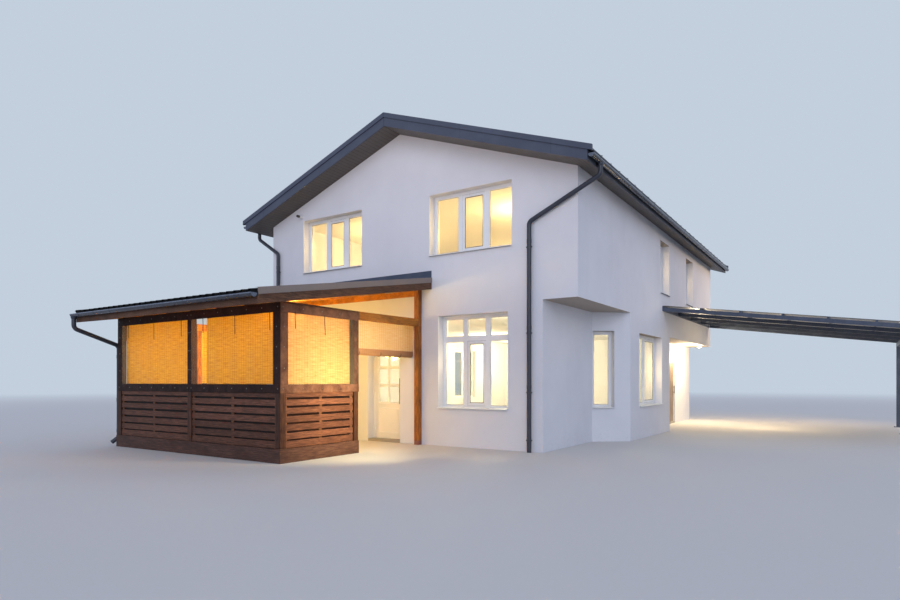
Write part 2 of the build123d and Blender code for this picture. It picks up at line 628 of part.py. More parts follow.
def under_roof(solid, depth):
    """What is left of a solid under a line parallel to the terrace roof."""
    return solid - terrace_strip(2 * TERRACE_ROOF_LEFT, 2 * TERRACE_ROOF_RIGHT, TERRACE_ROOF_FRONT, BACK,
                                 -depth, HOUSE_LENGTH)


def post(x, y, z0=0, z1=BEAM_BOTTOM):
    """A square post from its left front corner."""
    return block(x, x + POST, y, y + POST, z0, z1)


save("terrace_posts",
     post(TERRACE_LEFT, TERRACE_FRONT), post(middle - POST / 2, TERRACE_FRONT),
     post(inner_right, TERRACE_FRONT), post(inner_right, middle_post_y), post(TERRACE_LEFT, middle_post_y),
     under_roof(post(TERRACE_LEFT, wall_post_y, 0, TERRACE_WALL_TOP), TERRACE_SHEET),
     under_roof(post(wall_post_x, wall_post_y, FOOTING_HEIGHT, TERRACE_WALL_TOP), TERRACE_SHEET))
save("wall_post_footing", block(wall_post_x, wall_post_x + POST, wall_post_y, FRONT, 0, FOOTING_HEIGHT))
front_beam = block(TERRACE_LEFT, TERRACE_RIGHT, TERRACE_FRONT, inner_front, BEAM_BOTTOM, BEAM_TOP)
right_beam = block(inner_right, TERRACE_RIGHT, inner_front + TOUCH, PARAPET_END_Y, BEAM_BOTTOM, BEAM_TOP)
left_beam = block(TERRACE_LEFT, inner_left, inner_front + TOUCH, wall_post_y, BEAM_BOTTOM, BEAM_TOP)
entrance_rail = plan_prism(
    [(inner_right, PARAPET_END_Y + TOUCH), (TERRACE_RIGHT, PARAPET_END_Y + TOUCH),
     (wall_post_x + POST, wall_post_y), (wall_post_x, wall_post_y)], BEAM_BOTTOM, BEAM_TOP)
ledger = block(inner_left, wall_post_x, FRONT - LEDGER_THICKNESS, FRONT, LEDGER_BOTTOM, TERRACE_WALL_TOP)
save("terrace_ring_beams", front_beam, right_beam, left_beam, entrance_rail,
     under_roof(ledger, TERRACE_SHEET + RAFTER_DEPTH))

panel_y = (TERRACE_FRONT + PARAPET_INSET, TERRACE_FRONT + PARAPET_INSET + PARAPET_THICKNESS)
right_panel_x = (TERRACE_RIGHT - PARAPET_INSET - PARAPET_THICKNESS, TERRACE_RIGHT - PARAPET_INSET)
left_panel_x = (TERRACE_LEFT + PARAPET_INSET, TERRACE_LEFT + PARAPET_INSET + PARAPET_THICKNESS)
front_bays = [(inner_left, middle - POST / 2), (middle + POST / 2, inner_right)]
left_bays = [(inner_front, middle_post_y), (PARAPET_END_Y, wall_post_y)]
right_bay = (inner_front, middle_post_y)
save("terrace_parapets",
     *[block(*bay, *panel_y, 0, PARAPET_TOP) for bay in front_bays],
     block(*right_panel_x, *right_bay, 0, PARAPET_TOP),
     *[block(*left_panel_x, *bay, 0, PARAPET_TOP) for bay in left_bays],
     block(TERRACE_LEFT - BASE_BOARD, TERRACE_RIGHT + BASE_BOARD, TERRACE_FRONT - BASE_BOARD, TERRACE_FRONT,
           0, BASE_BOARD_TOP),
     block(TERRACE_RIGHT, TERRACE_RIGHT + BASE_BOARD, TERRACE_FRONT + TOUCH, PARAPET_END_Y,
           0, BASE_BOARD_TOP),
     block(TERRACE_LEFT - BASE_BOARD, TERRACE_LEFT, TERRACE_FRONT + TOUCH, FRONT, 0, BASE_BOARD_TOP))

# Soft windows over the faces of the posts and beams, reed blinds behind them
soft_z = (SOFT_LOW, SOFT_HIGH)
front_soft_y = (TERRACE_FRONT - TOUCH - SOFT_SHEET, TERRACE_FRONT - TOUCH)
left_soft_x = (TERRACE_LEFT - TOUCH - SOFT_SHEET, TERRACE_LEFT - TOUCH)
left_joint_y = PARAPET_END_Y - POST / 2
save("terrace_soft_windows",
     block(TERRACE_LEFT, middle - SOFT_JOINT, *front_soft_y, *soft_z),
     block(middle + SOFT_JOINT, TERRACE_RIGHT, *front_soft_y, *soft_z),
     block(TERRACE_RIGHT + TOUCH, TERRACE_RIGHT + TOUCH + SOFT_SHEET, TERRACE_FRONT, PARAPET_END_Y, *soft_z),
     block(*left_soft_x, TERRACE_FRONT, left_joint_y - SOFT_JOINT, *soft_z),
     block(*left_soft_x, left_joint_y + SOFT_JOINT, FRONT - TOUCH, *soft_z))
reed_z = (PARAPET_TOP + TOUCH, BEAM_BOTTOM - TOUCH)
save("terrace_reed_blinds",
     *[block(a + TOUCH, b - TOUCH, TERRACE_FRONT + REED_INSET, TERRACE_FRONT + REED_INSET + REED, *reed_z)
       for a, b in front_bays],
     block(TERRACE_RIGHT - REED_INSET - REED, TERRACE_RIGHT - REED_INSET,
           right_bay[0] + TOUCH, right_bay[1] - TOUCH, *reed_z),
     *[block(TERRACE_LEFT + REED_INSET, TERRACE_LEFT + REED_INSET + REED, a + TOUCH, b - TOUCH, *reed_z)
       for a, b in left_bays])
blind_x = inner_right - TOUCH
roll_x = blind_x - BLIND_ROLL_RADIUS
roll_y = (middle_post_y - BLIND_PAST_POST, wall_post_y)
entrance_blind = (rod((roll_x, roll_y[0], BLIND_LOW), (roll_x, roll_y[1], BLIND_LOW), BLIND_ROLL_RADIUS)
                  + block(blind_x - REED, blind_x, *roll_y, BLIND_LOW, BLIND_HIGH))
save("entrance_blind", entrance_blind)


# Terrace roof: rafters with a seat on the front beam, sheet, boards, flashings
rafter_first = TERRACE_LEFT + RAFTER_END_INSET
rafter_last = TERRACE_RIGHT - RAFTER_END_INSET - RAFTER_WIDTH
rafters = []
for i in range(TERRACE_RAFTERS):
    x = rafter_first + (rafter_last - rafter_first) * i / (TERRACE_RAFTERS - 1)
    rafter = terrace_strip(x, x + RAFTER_WIDTH, TERRACE_ROOF_FRONT + TERRACE_BARGE_THICKNESS, FRONT,
                           -TERRACE_SHEET - RAFTER_DEPTH, -TERRACE_SHEET)
    rafters.append(rafter - front_beam - right_beam - left_beam)
save("terrace_rafters", *rafters)
save("terrace_roof", terrace_strip(TERRACE_ROOF_LEFT, TERRACE_ROOF_RIGHT, TERRACE_ROOF_FRONT, FRONT,
                                   -TERRACE_SHEET, 0))
barge_low = -TERRACE_SHEET - TERRACE_BARGE_DEPTH
save("terrace_barge_boards",
     terrace_strip(TERRACE_ROOF_RIGHT - TERRACE_BARGE_THICKNESS, TERRACE_ROOF_RIGHT,
                   TERRACE_ROOF_FRONT, FRONT, barge_low, -TERRACE_SHEET),
     terrace_strip(TERRACE_ROOF_LEFT, TERRACE_ROOF_LEFT + TERRACE_BARGE_THICKNESS,
                   TERRACE_ROOF_FRONT, FRONT, barge_low, -TERRACE_SHEET),
     terrace_strip(TERRACE_ROOF_LEFT + TERRACE_BARGE_THICKNESS + TOUCH,
                   TERRACE_ROOF_RIGHT - TERRACE_BARGE_THICKNESS - TOUCH,
                   TERRACE_ROOF_FRONT, TERRACE_ROOF_FRONT + TERRACE_BARGE_THICKNESS,
                   barge_low, -TERRACE_SHEET))
save("terrace_flashings",
     terrace_strip(TERRACE_ROOF_RIGHT, TERRACE_ROOF_RIGHT + VERGE_THICKNESS, TERRACE_ROOF_FRONT, FRONT,
                   VERGE_THICKNESS - VERGE_HEIGHT, VERGE_THICKNESS),
     terrace_strip(TERRACE_ROOF_LEFT - VERGE_THICKNESS, TERRACE_ROOF_LEFT, TERRACE_ROOF_FRONT, FRONT,
                   VERGE_THICKNESS - VERGE_HEIGHT, VERGE_THICKNESS),
     block(TERRACE_ROOF_LEFT, TERRACE_ROOF_RIGHT, TERRACE_ROOF_FRONT - VERGE_THICKNESS, TERRACE_ROOF_FRONT,
           TERRACE_EAVE_TOP - TERRACE_SHEET - VERGE_HEIGHT, TERRACE_EAVE_TOP),
     block(LEFT, TERRACE_ROOF_RIGHT, FRONT - VERGE_THICKNESS, FRONT,
           TERRACE_WALL_TOP, TERRACE_WALL_TOP + APRON_HEIGHT))

# Canopy over the drive
canopy_y0 = FRONT + CANOPY_START
canopy_y1 = BACK - CANOPY_REAR_INSET
canopy_x = RIGHT + CANOPY_OUT


def canopy_strip(x0, x1, y0, y1, low, high):
    """A strip parallel to the canopy's sheet, between two heights under its top."""
    def top(x):
        return CANOPY_WALL_TOP - (x - RIGHT) * CANOPY_FALL
    outline = [(x0, top(x0) + low), (x1, top(x1) + low), (x1, top(x1) + high), (x0, top(x0) + high)]
    return prism([(x, y0, z) for x, z in outline], (0, y1 - y0, 0))


purlin_low = -CANOPY_SHEET - PURLIN
rafter_low = purlin_low - CANOPY_RAFTER_DEPTH
save("canopy_roof", canopy_strip(RIGHT, canopy_x, canopy_y0, canopy_y1, -CANOPY_SHEET, 0))
save("canopy_purlins", *[
    canopy_strip(x, x + PURLIN, canopy_y0, canopy_y1, purlin_low, -CANOPY_SHEET)
    for x in [RIGHT + (CANOPY_OUT - PURLIN) * i / (CANOPY_PURLINS - 1) for i in range(CANOPY_PURLINS)]])
save("canopy_rafters", *[
    canopy_strip(RIGHT + CANOPY_RAFTER_WIDTH, canopy_x, y, y + CANOPY_RAFTER_WIDTH, rafter_low, purlin_low)
    for y in [canopy_y0 + (canopy_y1 - canopy_y0 - CANOPY_RAFTER_WIDTH) * i / (CANOPY_RAFTERS - 1)
              for i in range(CANOPY_RAFTERS)]])
beam_x = canopy_x - CANOPY_POST_INSET - CANOPY_POST
outer_beam_top = CANOPY_WALL_TOP + rafter_low - (beam_x + CANOPY_POST - RIGHT) * CANOPY_FALL
save("canopy_beams",
     canopy_strip(RIGHT, RIGHT + CANOPY_RAFTER_WIDTH, canopy_y0, canopy_y1, rafter_low, purlin_low),
     block(beam_x, beam_x + CANOPY_POST, canopy_y0, canopy_y1, outer_beam_top - CANOPY_BEAM, outer_beam_top))
post_half = CANOPY_POST / 2
plate_half = BASE_PLATE_SIZE / 2
posts = []
for i in range(CANOPY_POSTS):
    y = canopy_y0 + plate_half + (canopy_y1 - canopy_y0 - BASE_PLATE_SIZE) * i / (CANOPY_POSTS - 1)
    x = beam_x + post_half
    posts.append(block(x - post_half, x + post_half, y - post_half, y + post_half, BASE_PLATE,
                       outer_beam_top - CANOPY_BEAM)
                 + block(x - plate_half, x + plate_half, y - plate_half, y + plate_half, 0, BASE_PLATE))
save("canopy_posts", *posts)

# Small fittings
porch_lamp_x = RIGHT - PORCH_LAMP_INSET
porch_lamp_y = BACK - PORCH_LAMP_FROM_BACK
porch_lamp = rod((porch_lamp_x, porch_lamp_y, PORCH_HEAD - LAMP_HEIGHT),
                 (porch_lamp_x, porch_lamp_y, PORCH_HEAD), LAMP_RADIUS)
terrace_lamp_y = inner_front + TERRACE_LAMP_INSET
terrace_lamp_z = BEAM_BOTTOM + TERRACE_LAMP_RISE
terrace_lamp = rod((inner_right - LAMP_HEIGHT, terrace_lamp_y, terrace_lamp_z),
                   (inner_right, terrace_lamp_y, terrace_lamp_z), LAMP_RADIUS)
save("outdoor_lamps", porch_lamp, terrace_lamp)
camera_x = SMALL_GABLE_WINDOW_X - CAMERA_LEFT_OF_WINDOW
camera_z = UPPER_HEAD_Z + CAMERA_OVER_WINDOW
mount_y = FRONT - CAMERA_MOUNT_DEPTH
camera = (rod((camera_x, FRONT, camera_z), (camera_x, mount_y, camera_z), CAMERA_MOUNT_RADIUS)
          + rod((camera_x, mount_y, camera_z), (camera_x, mount_y - CAMERA_BODY_LENGTH, camera_z),
                CAMERA_BODY_RADIUS))
save("wall_camera", camera)
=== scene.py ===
"""A detached house with a timber terrace, a side canopy and two hinged doors: its looks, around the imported
solids."""
import math

import bpy
import numpy as np
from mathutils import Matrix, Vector


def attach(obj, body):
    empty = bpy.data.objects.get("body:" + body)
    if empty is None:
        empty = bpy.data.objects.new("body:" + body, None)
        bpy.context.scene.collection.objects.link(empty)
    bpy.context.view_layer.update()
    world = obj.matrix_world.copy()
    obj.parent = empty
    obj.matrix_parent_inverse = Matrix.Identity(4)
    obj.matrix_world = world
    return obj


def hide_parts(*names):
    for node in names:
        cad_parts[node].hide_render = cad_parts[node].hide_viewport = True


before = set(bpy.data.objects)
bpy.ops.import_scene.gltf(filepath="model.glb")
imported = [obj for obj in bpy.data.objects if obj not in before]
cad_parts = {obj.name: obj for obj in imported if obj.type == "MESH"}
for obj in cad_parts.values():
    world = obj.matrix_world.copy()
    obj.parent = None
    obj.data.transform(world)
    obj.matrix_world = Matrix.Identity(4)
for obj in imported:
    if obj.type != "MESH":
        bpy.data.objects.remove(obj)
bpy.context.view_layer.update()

# Camera: at eye height in front of the right corner, held level.
# The picture is raised instead of tilted, so that upright edges stay upright.
view = bpy.data.cameras.new("view")
view.sensor_width, view.lens, view.shift_y = 36.0, 24.54, 0.09
view.clip_end = 1000.0
camera = bpy.data.objects.new("camera", view)
camera.location = (8.730, -17.443, 1.420)
camera.rotation_euler = (math.radians(90), 0, math.radians(33.54))
bpy.context.collection.objects.link(camera)
bpy.context.scene.camera = camera
bpy.context.scene.view_settings.view_transform = "Standard"


# Floor and backdrop: a wide pale floor that turns into the backdrop's colour from 20 m outwards, so that
# no hard line crosses the picture behind the house.
def linear(code):
    """Turn an sRGB hex colour into linear red, green, blue and an alpha of 1."""
    srgb = np.array([int(code[i:i + 2], 16) for i in (1, 3, 5)]) / 255
    return (*np.where(srgb <= 0.04045, srgb / 12.92, ((srgb + 0.055) / 1.055) ** 2.4), 1.0)


def node(tree, kind, *inputs, **settings):
    """Add a node, or feed one that is there. Inputs go to its sockets in order, and settings to its
    properties and its sockets by name. Each is a node, whose first output is meant, an output, a hex colour
    or a plain value; None leaves the socket as it is."""
    made = tree.nodes.new("ShaderNode" + kind) if isinstance(kind, str) else kind
    sockets = list(enumerate(inputs))
    for key, value in settings.items():
        if hasattr(made, key):
            setattr(made, key, value)
        else:
            sockets.append((key.replace("_", " "), value))
    for socket, value in sockets:
        if isinstance(value, bpy.types.Node):
            value = value.outputs[0]
        if isinstance(value, bpy.types.NodeSocket):
            tree.links.new(value, made.inputs[socket])
        elif value is not None:
            made.inputs[socket].default_value = linear(value) if isinstance(value, str) else value
    return made


def material(name, color, **sockets):
    """A new material with one shader, and its own axes in metres. The values are set on the shader's
    sockets."""
    made = bpy.data.materials.new(name)
    made.use_nodes = True
    tree = made.node_tree
    shader = node(tree, tree.nodes["Principled BSDF"], Base_Color=color, **sockets)
    return made, tree, shader, node(tree, "TexCoord").outputs["Object"]


BACKDROP = "#C3CFDD"
floor_paint, tree, shader, place = material("pale_floor", "#D0CCC5", Roughness=0.9, Specular_IOR_Level=0.1)
radius = node(tree, "VectorMath", place, operation="LENGTH").outputs["Value"]
far = node(tree, "MapRange", radius, 20.0, 75.0, 0.0, 1.0, interpolation_type="SMOOTHSTEP")
faded = node(tree, "Math", far, node(tree, "LightPath").outputs["Is Camera Ray"], operation="MULTIPLY")
mixed = node(tree, "MixShader", faded, shader, node(tree, "Emission", BACKDROP, 1.0))
node(tree, tree.nodes["Material Output"], mixed)
floor_mesh = bpy.data.meshes.new("floor")
floor_mesh.from_pydata([(-160, -160, -0.002), (160, -160, -0.002), (160, 160, -0.002), (-160, 160, -0.002)],
                       [], [(0, 1, 2, 3)])
floor = bpy.data.objects.new("floor", floor_mesh)
bpy.context.collection.objects.link(floor)
floor_mesh.materials.append(floor_paint)

world = bpy.data.worlds.new("sky")
bpy.context.scene.world = world
world.use_nodes = True
sky = world.node_tree
sky.nodes.clear()
path = node(sky, "LightPath")
seen = node(sky, "Math", path.outputs["Is Camera Ray"], path.outputs["Is Glossy Ray"], operation="MAXIMUM")
seen = node(sky, "Math", seen, path.outputs["Is Transmission Ray"], operation="MAXIMUM")
chosen = node(sky, "MixShader", seen, node(sky, "Background", "#CEDBFA", 0.86),
              node(sky, "Background", BACKDROP, 1.0))
node(sky, "OutputWorld", chosen)

# Lamps: one large soft lamp from the front right, cool as an overcast evening, and warm lamps that are
# switched on in the rooms, the terrace and the porch.
key_lamp = bpy.data.lights.new("key_lamp", "SUN")
key_lamp.energy, key_lamp.angle, key_lamp.color = 1.0, math.radians(45), linear("#E9EEFF")[:3]
key = bpy.data.objects.new("key_lamp", key_lamp)
key.rotation_euler = (math.radians(78), 0, math.radians(30))
bpy.context.collection.objects.link(key)


def glow(name, place, power, radius, color):
    """A warm round lamp; the place is in metres."""
    bulb = bpy.data.lights.new(name, "POINT")
    bulb.energy, bulb.shadow_soft_size, bulb.color = power, radius, linear(color)[:3]
    lamp = bpy.data.objects.new(name, bulb)
    lamp.location = place
    bpy.context.collection.objects.link(lamp)


for i, (x, y, power) in enumerate(((-2.2, -4.0, 190), (1.9, -4.6, 130), (-2.0, 1.2, 240), (2.2, -1.4, 75),
                                   (-2.3, 4.2, 220), (2.2, 3.4, 70))):
    glow(f"ground_room_{i}", (x, y, 2.4), power, 0.25, "#FFF1CC")
for i, (x, y) in enumerate(((-2.1, -4.2), (1.9, -4.2), (0.0, 0.5), (0.0, 4.2))):
    glow(f"upper_room_{i}", (x, y, 5.0), 125, 0.25, "#FFDFA2")
glow("rafter_light", (-0.4, -9.0, 2.78), 50, 0.1, "#FFE0A0")
glow("terrace_lamp", (0.20, -9.835, 2.58), 34, 0.06, "#FFE0B0")
for i, (x, y, power) in enumerate(((-3.8, -8.8, 84), (-2.4, -8.6, 80), (-0.9, -8.9, 28))):
    glow(f"terrace_light_{i}", (x, y, 2.2), power, 0.2, "#FFE488")
glow("porch_light", (4.00, 4.6, 2.30), 260, 0.1, "#FFE9C0")
glow("canopy_light", (6.4, 3.2, 1.2), 60, 0.3, "#FFE2B4")


def panel(name, place, target, power, size, spread, color):
    """A flat soft lamp that faces a target and isn't seen itself."""
    lit = bpy.data.lights.new(name, "AREA")
    lit.energy, lit.size, lit.spread, lit.color = power, size, math.radians(spread), linear(color)[:3]
    lamp = bpy.data.objects.new(name, lit)
    lamp.location = place
    lamp.rotation_euler = (Vector(target) - Vector(place)).to_track_quat("-Z", "Y").to_euler()
    lamp.visible_camera = lamp.visible_glossy = lamp.visible_transmission = False
    bpy.context.collection.objects.link(lamp)


# Panels that light the terrace's right parapet, the gable with its soffit, and the rear of the right side,
# and six small ones inside the windows that light the reveals.
panel("side_light", (3.2, -8.95, 1.2), (0.5, -8.95, 1.1), 64, 0.8, 80, "#FFEAB0")
panel("gable_light", (0.5, -13.5, 2.9), (0.5, -13.5, 4.0), 330, 4.0, 180, "#FFE6D8")
panel("rear_light", (10.5, 7.5, 5.6), (4.3, 5.0, 4.0), 150, 1.5, 150, "#FFD9A8")
for i, (place, target, power, color) in enumerate((
        ((1.60, -6.00, 1.85), (1.07, -6.28, 1.85), 4, "#FFE6BC"),
        ((1.38, -6.00, 4.85), (0.83, -6.28, 4.85), 3, "#FFDFA2"),
        ((-2.62, -6.00, 4.85), (-3.14, -6.28, 4.85), 3, "#FFDFA2"),
        ((3.97, -0.95, 1.70), (4.20, -0.29, 1.70), 5, "#FFDBA6"),
        ((3.95, -0.10, 4.50), (4.20, 0.49, 4.50), 2, "#FFDDB0"),
        ((3.95, 2.88, 4.50), (4.20, 3.47, 4.50), 2, "#FFDDB0"))):
    panel(f"reveal_light_{i}", place, target, power, 0.2, 160, color)


# Walls: blockwork with a floated mineral render, off-white, whose 1.5 mm grain keeps them matt.
# They are faintly patchy, and rain has splashed specks of soil on the foot of the recess and the bay.
# On the right, faces that point down are painted a darker beige: painted shade, for the shadow under them.
def dress(nodes, finish):
    """Give CAD nodes a material in place of their plain one."""
    for name in nodes:
        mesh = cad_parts[name].data
        mesh.materials.clear()
        mesh.materials.append(finish)


render_coat, tree, shader, place = material("floated_mineral_render", "#D6D5D5", Roughness=0.92,
                                            Specular_IOR_Level=0.25)
patch = node(tree, "MapRange", node(tree, "TexNoise", place, Scale=0.6, Detail=5.0, Roughness=0.6), 0.35, 0.7)
tone = node(tree, "MixRGB", patch, "#DBDADB", "#D2D1D3")
run_down = node(tree, "TexNoise", node(tree, "Mapping", place, Scale=(1, 1, 0.12)), Scale=3.0, Detail=4.0)
run_down = node(tree, "MapRange", run_down, 0.55, 0.8, 0.0, 0.10)
tone = node(tree, "MixRGB", run_down, tone, "#BDBBB8")
axes = node(tree, "SeparateXYZ", place)
low = node(tree, "MapRange", axes.outputs["Z"], 0.05, 0.50, 1.0, 0.0)
beside = node(tree, "MapRange", axes.outputs["X"], 3.3, 3.6, 0.12, 1.0)
specks = node(tree, "TexNoise", place, Scale=16.0, Detail=8.0, Roughness=0.8)
specks = node(tree, "MapRange", specks, 0.54, 0.70, 0.0, 0.34)
soiled = node(tree, "Math", specks, low, operation="MULTIPLY")
soiled = node(tree, "Math", soiled, beside, operation="MULTIPLY")
tone = node(tree, "MixRGB", soiled, tone, "#7C786F")
upward = node(tree, "SeparateXYZ", node(tree, "TexCoord").outputs["Normal"]).outputs["Z"]
downward = node(tree, "Math", upward, -0.5, operation="LESS_THAN")
# Painted shade: faces that point down, right of x = 3.2 m, are darkened to beige.
outside = node(tree, "MapRange", axes.outputs["X"], 3.2, 3.3, 0.0, 0.85)
painted_underside_shade = node(tree, "Math", downward, outside, operation="MULTIPLY")
tone = node(tree, "MixRGB", painted_underside_shade, tone, "#9A8D80")
grain = node(tree, "TexNoise", place, Scale=420.0, Detail=2.0)
floated = node(tree, "Math", grain, node(tree, "TexNoise", place, Scale=12.0, Detail=3.0), operation="ADD")
node(tree, shader, Base_Color=tone, Normal=node(tree, "Bump", Height=floated, Distance=0.0012, Strength=0.6))
dress(["front_wall_left", "front_wall_right", "walls_over_doors", "corner_recess_wall", "bay_oblique_wall",
       "bay_side_wall", "bay_return_wall", "porch_walls", "rear_wall", "porch_soffit", "upper_floor_slab",
       "left_wall", "upper_right_wall", "front_gable", "rear_gable"], render_coat)

# Floor screed and ceiling boards inside, which show through the windows.
# The floor is a sanded screed, cloudy and faintly gritty; the ceiling is plasterboard, rolled with white
# paint that leaves it even and matt.
screed, tree, shader, place = material("sanded_screed", "#9C958A", Roughness=0.7)
cloud = node(tree, "TexNoise", place, Scale=1.5, Detail=5.0, Roughness=0.6)
node(tree, shader, Base_Color=node(tree, "MixRGB", cloud, "#8B8479", "#ADA699"),
     Normal=node(tree, "Bump", Height=node(tree, "TexNoise", place, Scale=60.0), Distance=0.002))
dress(["ground_slab"], screed)
plaster, tree, shader, place = material("painted_plasterboard", "#E6E0D2", Roughness=0.8)
cloud = node(tree, "TexNoise", place, Scale=0.8)
node(tree, shader, Base_Color=node(tree, "MixRGB", cloud, "#E9E3D6", "#DDD6C7"),
     Normal=node(tree, "Bump", Height=node(tree, "TexNoise", place, Scale=180.0), Distance=0.0006))
dress(["upper_ceiling"], plaster)


# Main roof: standing seam steel in graphite polyester paint, rolled in 513 mm trays.
# Each tray's edges fold up into a seam with its neighbour's, and run from the eave to under the ridge cap.
def carried(profile, path, up=(0, 0, 1)):
    """A closed profile carried along a path, in millimetres.

    Point (i, j) is path point i, plus the profile's first number along the side of the path and its second
    along the upper side. The side is square to the path and to up. UV is the length run along and around.
    """
    path, profile = np.asarray(path, float), np.asarray(profile, float)
    run = np.diff(path, axis=0)
    run /= np.linalg.norm(run, axis=1, keepdims=True)
    ahead = np.vstack([run[:1], run[:-1] + run[1:], run[-1:]])
    ahead /= np.linalg.norm(ahead, axis=1, keepdims=True)
    side = np.cross(ahead, up)
    side /= np.linalg.norm(side, axis=1, keepdims=True)
    top = np.cross(side, ahead)
    points = path[:, None] + profile[None, :, :1] * side[:, None] + profile[None, :, 1:] * top[:, None]
    rows, columns = points.shape[:2]
    index = np.arange(rows * columns).reshape(rows, columns)
    after = np.roll(index, -1, axis=1)
    faces = np.stack([index[:-1], index[1:], after[1:], after[:-1]], -1).reshape(-1, 4).tolist()
    faces += [index[0].tolist(), index[-1][::-1].tolist()]
    along = np.append(0, np.linalg.norm(np.diff(path, axis=0), axis=1).cumsum())
    around = np.append(0, np.linalg.norm(np.diff(profile, axis=0), axis=1).cumsum())
    uv = np.stack(np.meshgrid(along, around, indexing="ij"), -1).reshape(-1, 2)
    return points.reshape(-1, 3), faces, uv


def piece(name, parts, finish, body="house", instead_of=(), eased=0.0, smooth=False):
    """One mesh from parts in millimetres: points, faces and UV. Each part's UV starts 7 m further along the
    grain than the last one's, so that no two boards look the same. A bevel may ease the sharp edges."""
    points, faces, uv, first = [], [], [], 0
    for i, (its_points, its_faces, its_uv) in enumerate(parts):
        points.append(its_points)
        faces += [tuple(corner + first for corner in face) for face in its_faces]
        uv.append(its_uv + (7000.0 * i + 400, 1270.0 * (i % 97)))
        first += len(its_points)
    mesh = bpy.data.meshes.new(name)
    mesh.from_pydata((np.vstack(points) / 1000).tolist(), [], faces)
    corner = np.empty(len(mesh.loops), int)
    mesh.loops.foreach_get("vertex_index", corner)
    mesh.uv_layers.new(name="grain").data.foreach_set("uv", (np.vstack(uv)[corner] / 1000).ravel())
    if smooth:
        mesh.shade_smooth()
        mesh.set_sharp_from_angle(angle=math.radians(35))
    mesh.materials.append(finish)
    made = bpy.data.objects.new(name, mesh)
    bpy.context.collection.objects.link(made)
    if eased:
        bevel = made.modifiers.new("eased_edges", "BEVEL")
        bevel.width, bevel.segments, bevel.limit_method = eased / 1000, 1, "ANGLE"
    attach(made, body)
    if instead_of:
        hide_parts(*instead_of)
    return made


def rectangle(wide, high):
    """A rectangle's corners around its middle, counter-clockwise."""
    return np.array([(-wide, -high), (wide, -high), (wide, high), (-wide, high)]) / 2


def block(low, high, axis=0):
    """A box between two corners, carried along one of its axes."""
    low, high = np.asarray(low, float), np.asarray(high, float)
    start, end = (low + high) / 2, (low + high) / 2
    start[axis], end[axis] = low[axis], high[axis]
    size = high - low
    if axis == 2:
        return carried(rectangle(size[0], size[1]), [start, end], up=(0, 1, 0))
    return carried(rectangle(size[1 - axis], size[2]), [start, end])


def roof_top(x):
    """Height of the main roof's upper face."""
    return 7300 - 0.35814 * abs(x)


def painted_steel(name, color, roughness=0.42, joint=None, dust="#7A7D82", painted_highlight=None):
    """Polyester paint on galvanised sheet, rolled on at the coil: a satin skin, faintly wavy where the sheet
    has been bent by hand, with a film of dust that makes it cloudy and a little paler in patches. A joint is
    an axis and the distance in metres between the dark lines where lengths lap over each other. The last
    argument, if given, is a painted highlight: a pale colour painted on the faces that point up, for the sky
    they reflect."""
    made, tree, shader, place = material(name, color, Roughness=roughness, Specular_IOR_Level=0.45)
    cloud = node(tree, "TexNoise", place, Scale=1.6, Detail=5.0, Roughness=0.65)
    coat = node(tree, "MixRGB", node(tree, "MapRange", cloud, 0.45, 0.8, 0.0, 0.28), color, dust)
    if joint:
        along = node(tree, "SeparateXYZ", place).outputs[joint[0]]
        lap = node(tree, "Math", along, joint[1] / 2, operation="PINGPONG")
        coat = node(tree, "MixRGB", node(tree, "MapRange", lap, 0.0, 0.006, 0.75, 0.0), coat, "#101114")
    # Painted highlight: faces that point up are made paler, for the sky they reflect.
    if painted_highlight:
        up = node(tree, "SeparateXYZ", node(tree, "TexCoord").outputs["Normal"]).outputs["Z"]
        coat = node(tree, "MixRGB", node(tree, "MapRange", up, -0.25, 0.5, 0.0, 0.8), coat, painted_highlight)
    matt = node(tree, "TexNoise", place, Scale=5.0, Detail=4.0)
    matt = node(tree, "MapRange", matt, 0.3, 0.7, roughness - 0.06, roughness + 0.12)
    skin = node(tree, "TexNoise", place, Scale=160.0, Detail=1.0)
    skin = node(tree, "Math", skin, 0.04, node(tree, "TexNoise", place, Scale=2.6, Detail=2.0),
                operation="MULTIPLY_ADD")
    node(tree, shader, Base_Color=coat, Roughness=matt,
         Normal=node(tree, "Bump", Height=skin, Distance=0.006, Strength=0.5))
    return made


graphite_sheet = painted_steel("graphite_coil_coated_steel", "#474C56")
dress(["roof_left", "roof_right"], graphite_sheet)
dress(["barge_boards_left", "barge_boards_right"],
      painted_steel("graphite_folded_barge_sheet", "#414757", joint=("X", 2.0), dust="#60687A"))
dress(["eave_fascias", "ridge_cap"], painted_steel("graphite_folded_fascia", "#3A3D45", joint=("Y", 2.0)))

SEAM = np.array([(-2, -6), (2, -6), (2, 15), (7, 17), (7, 22), (-5, 22), (-5, 17), (-2, 15)])
seams = []
for side in (-1, 1):
    for y in np.linspace(-6900, 6950, 28)[1:-1]:
        eave, ridge = side * 4792, side * 172
        seams.append(carried(SEAM, [(eave, y, roof_top(eave)), (ridge, y, roof_top(ridge))]))
piece("roof_seams", seams, graphite_sheet)

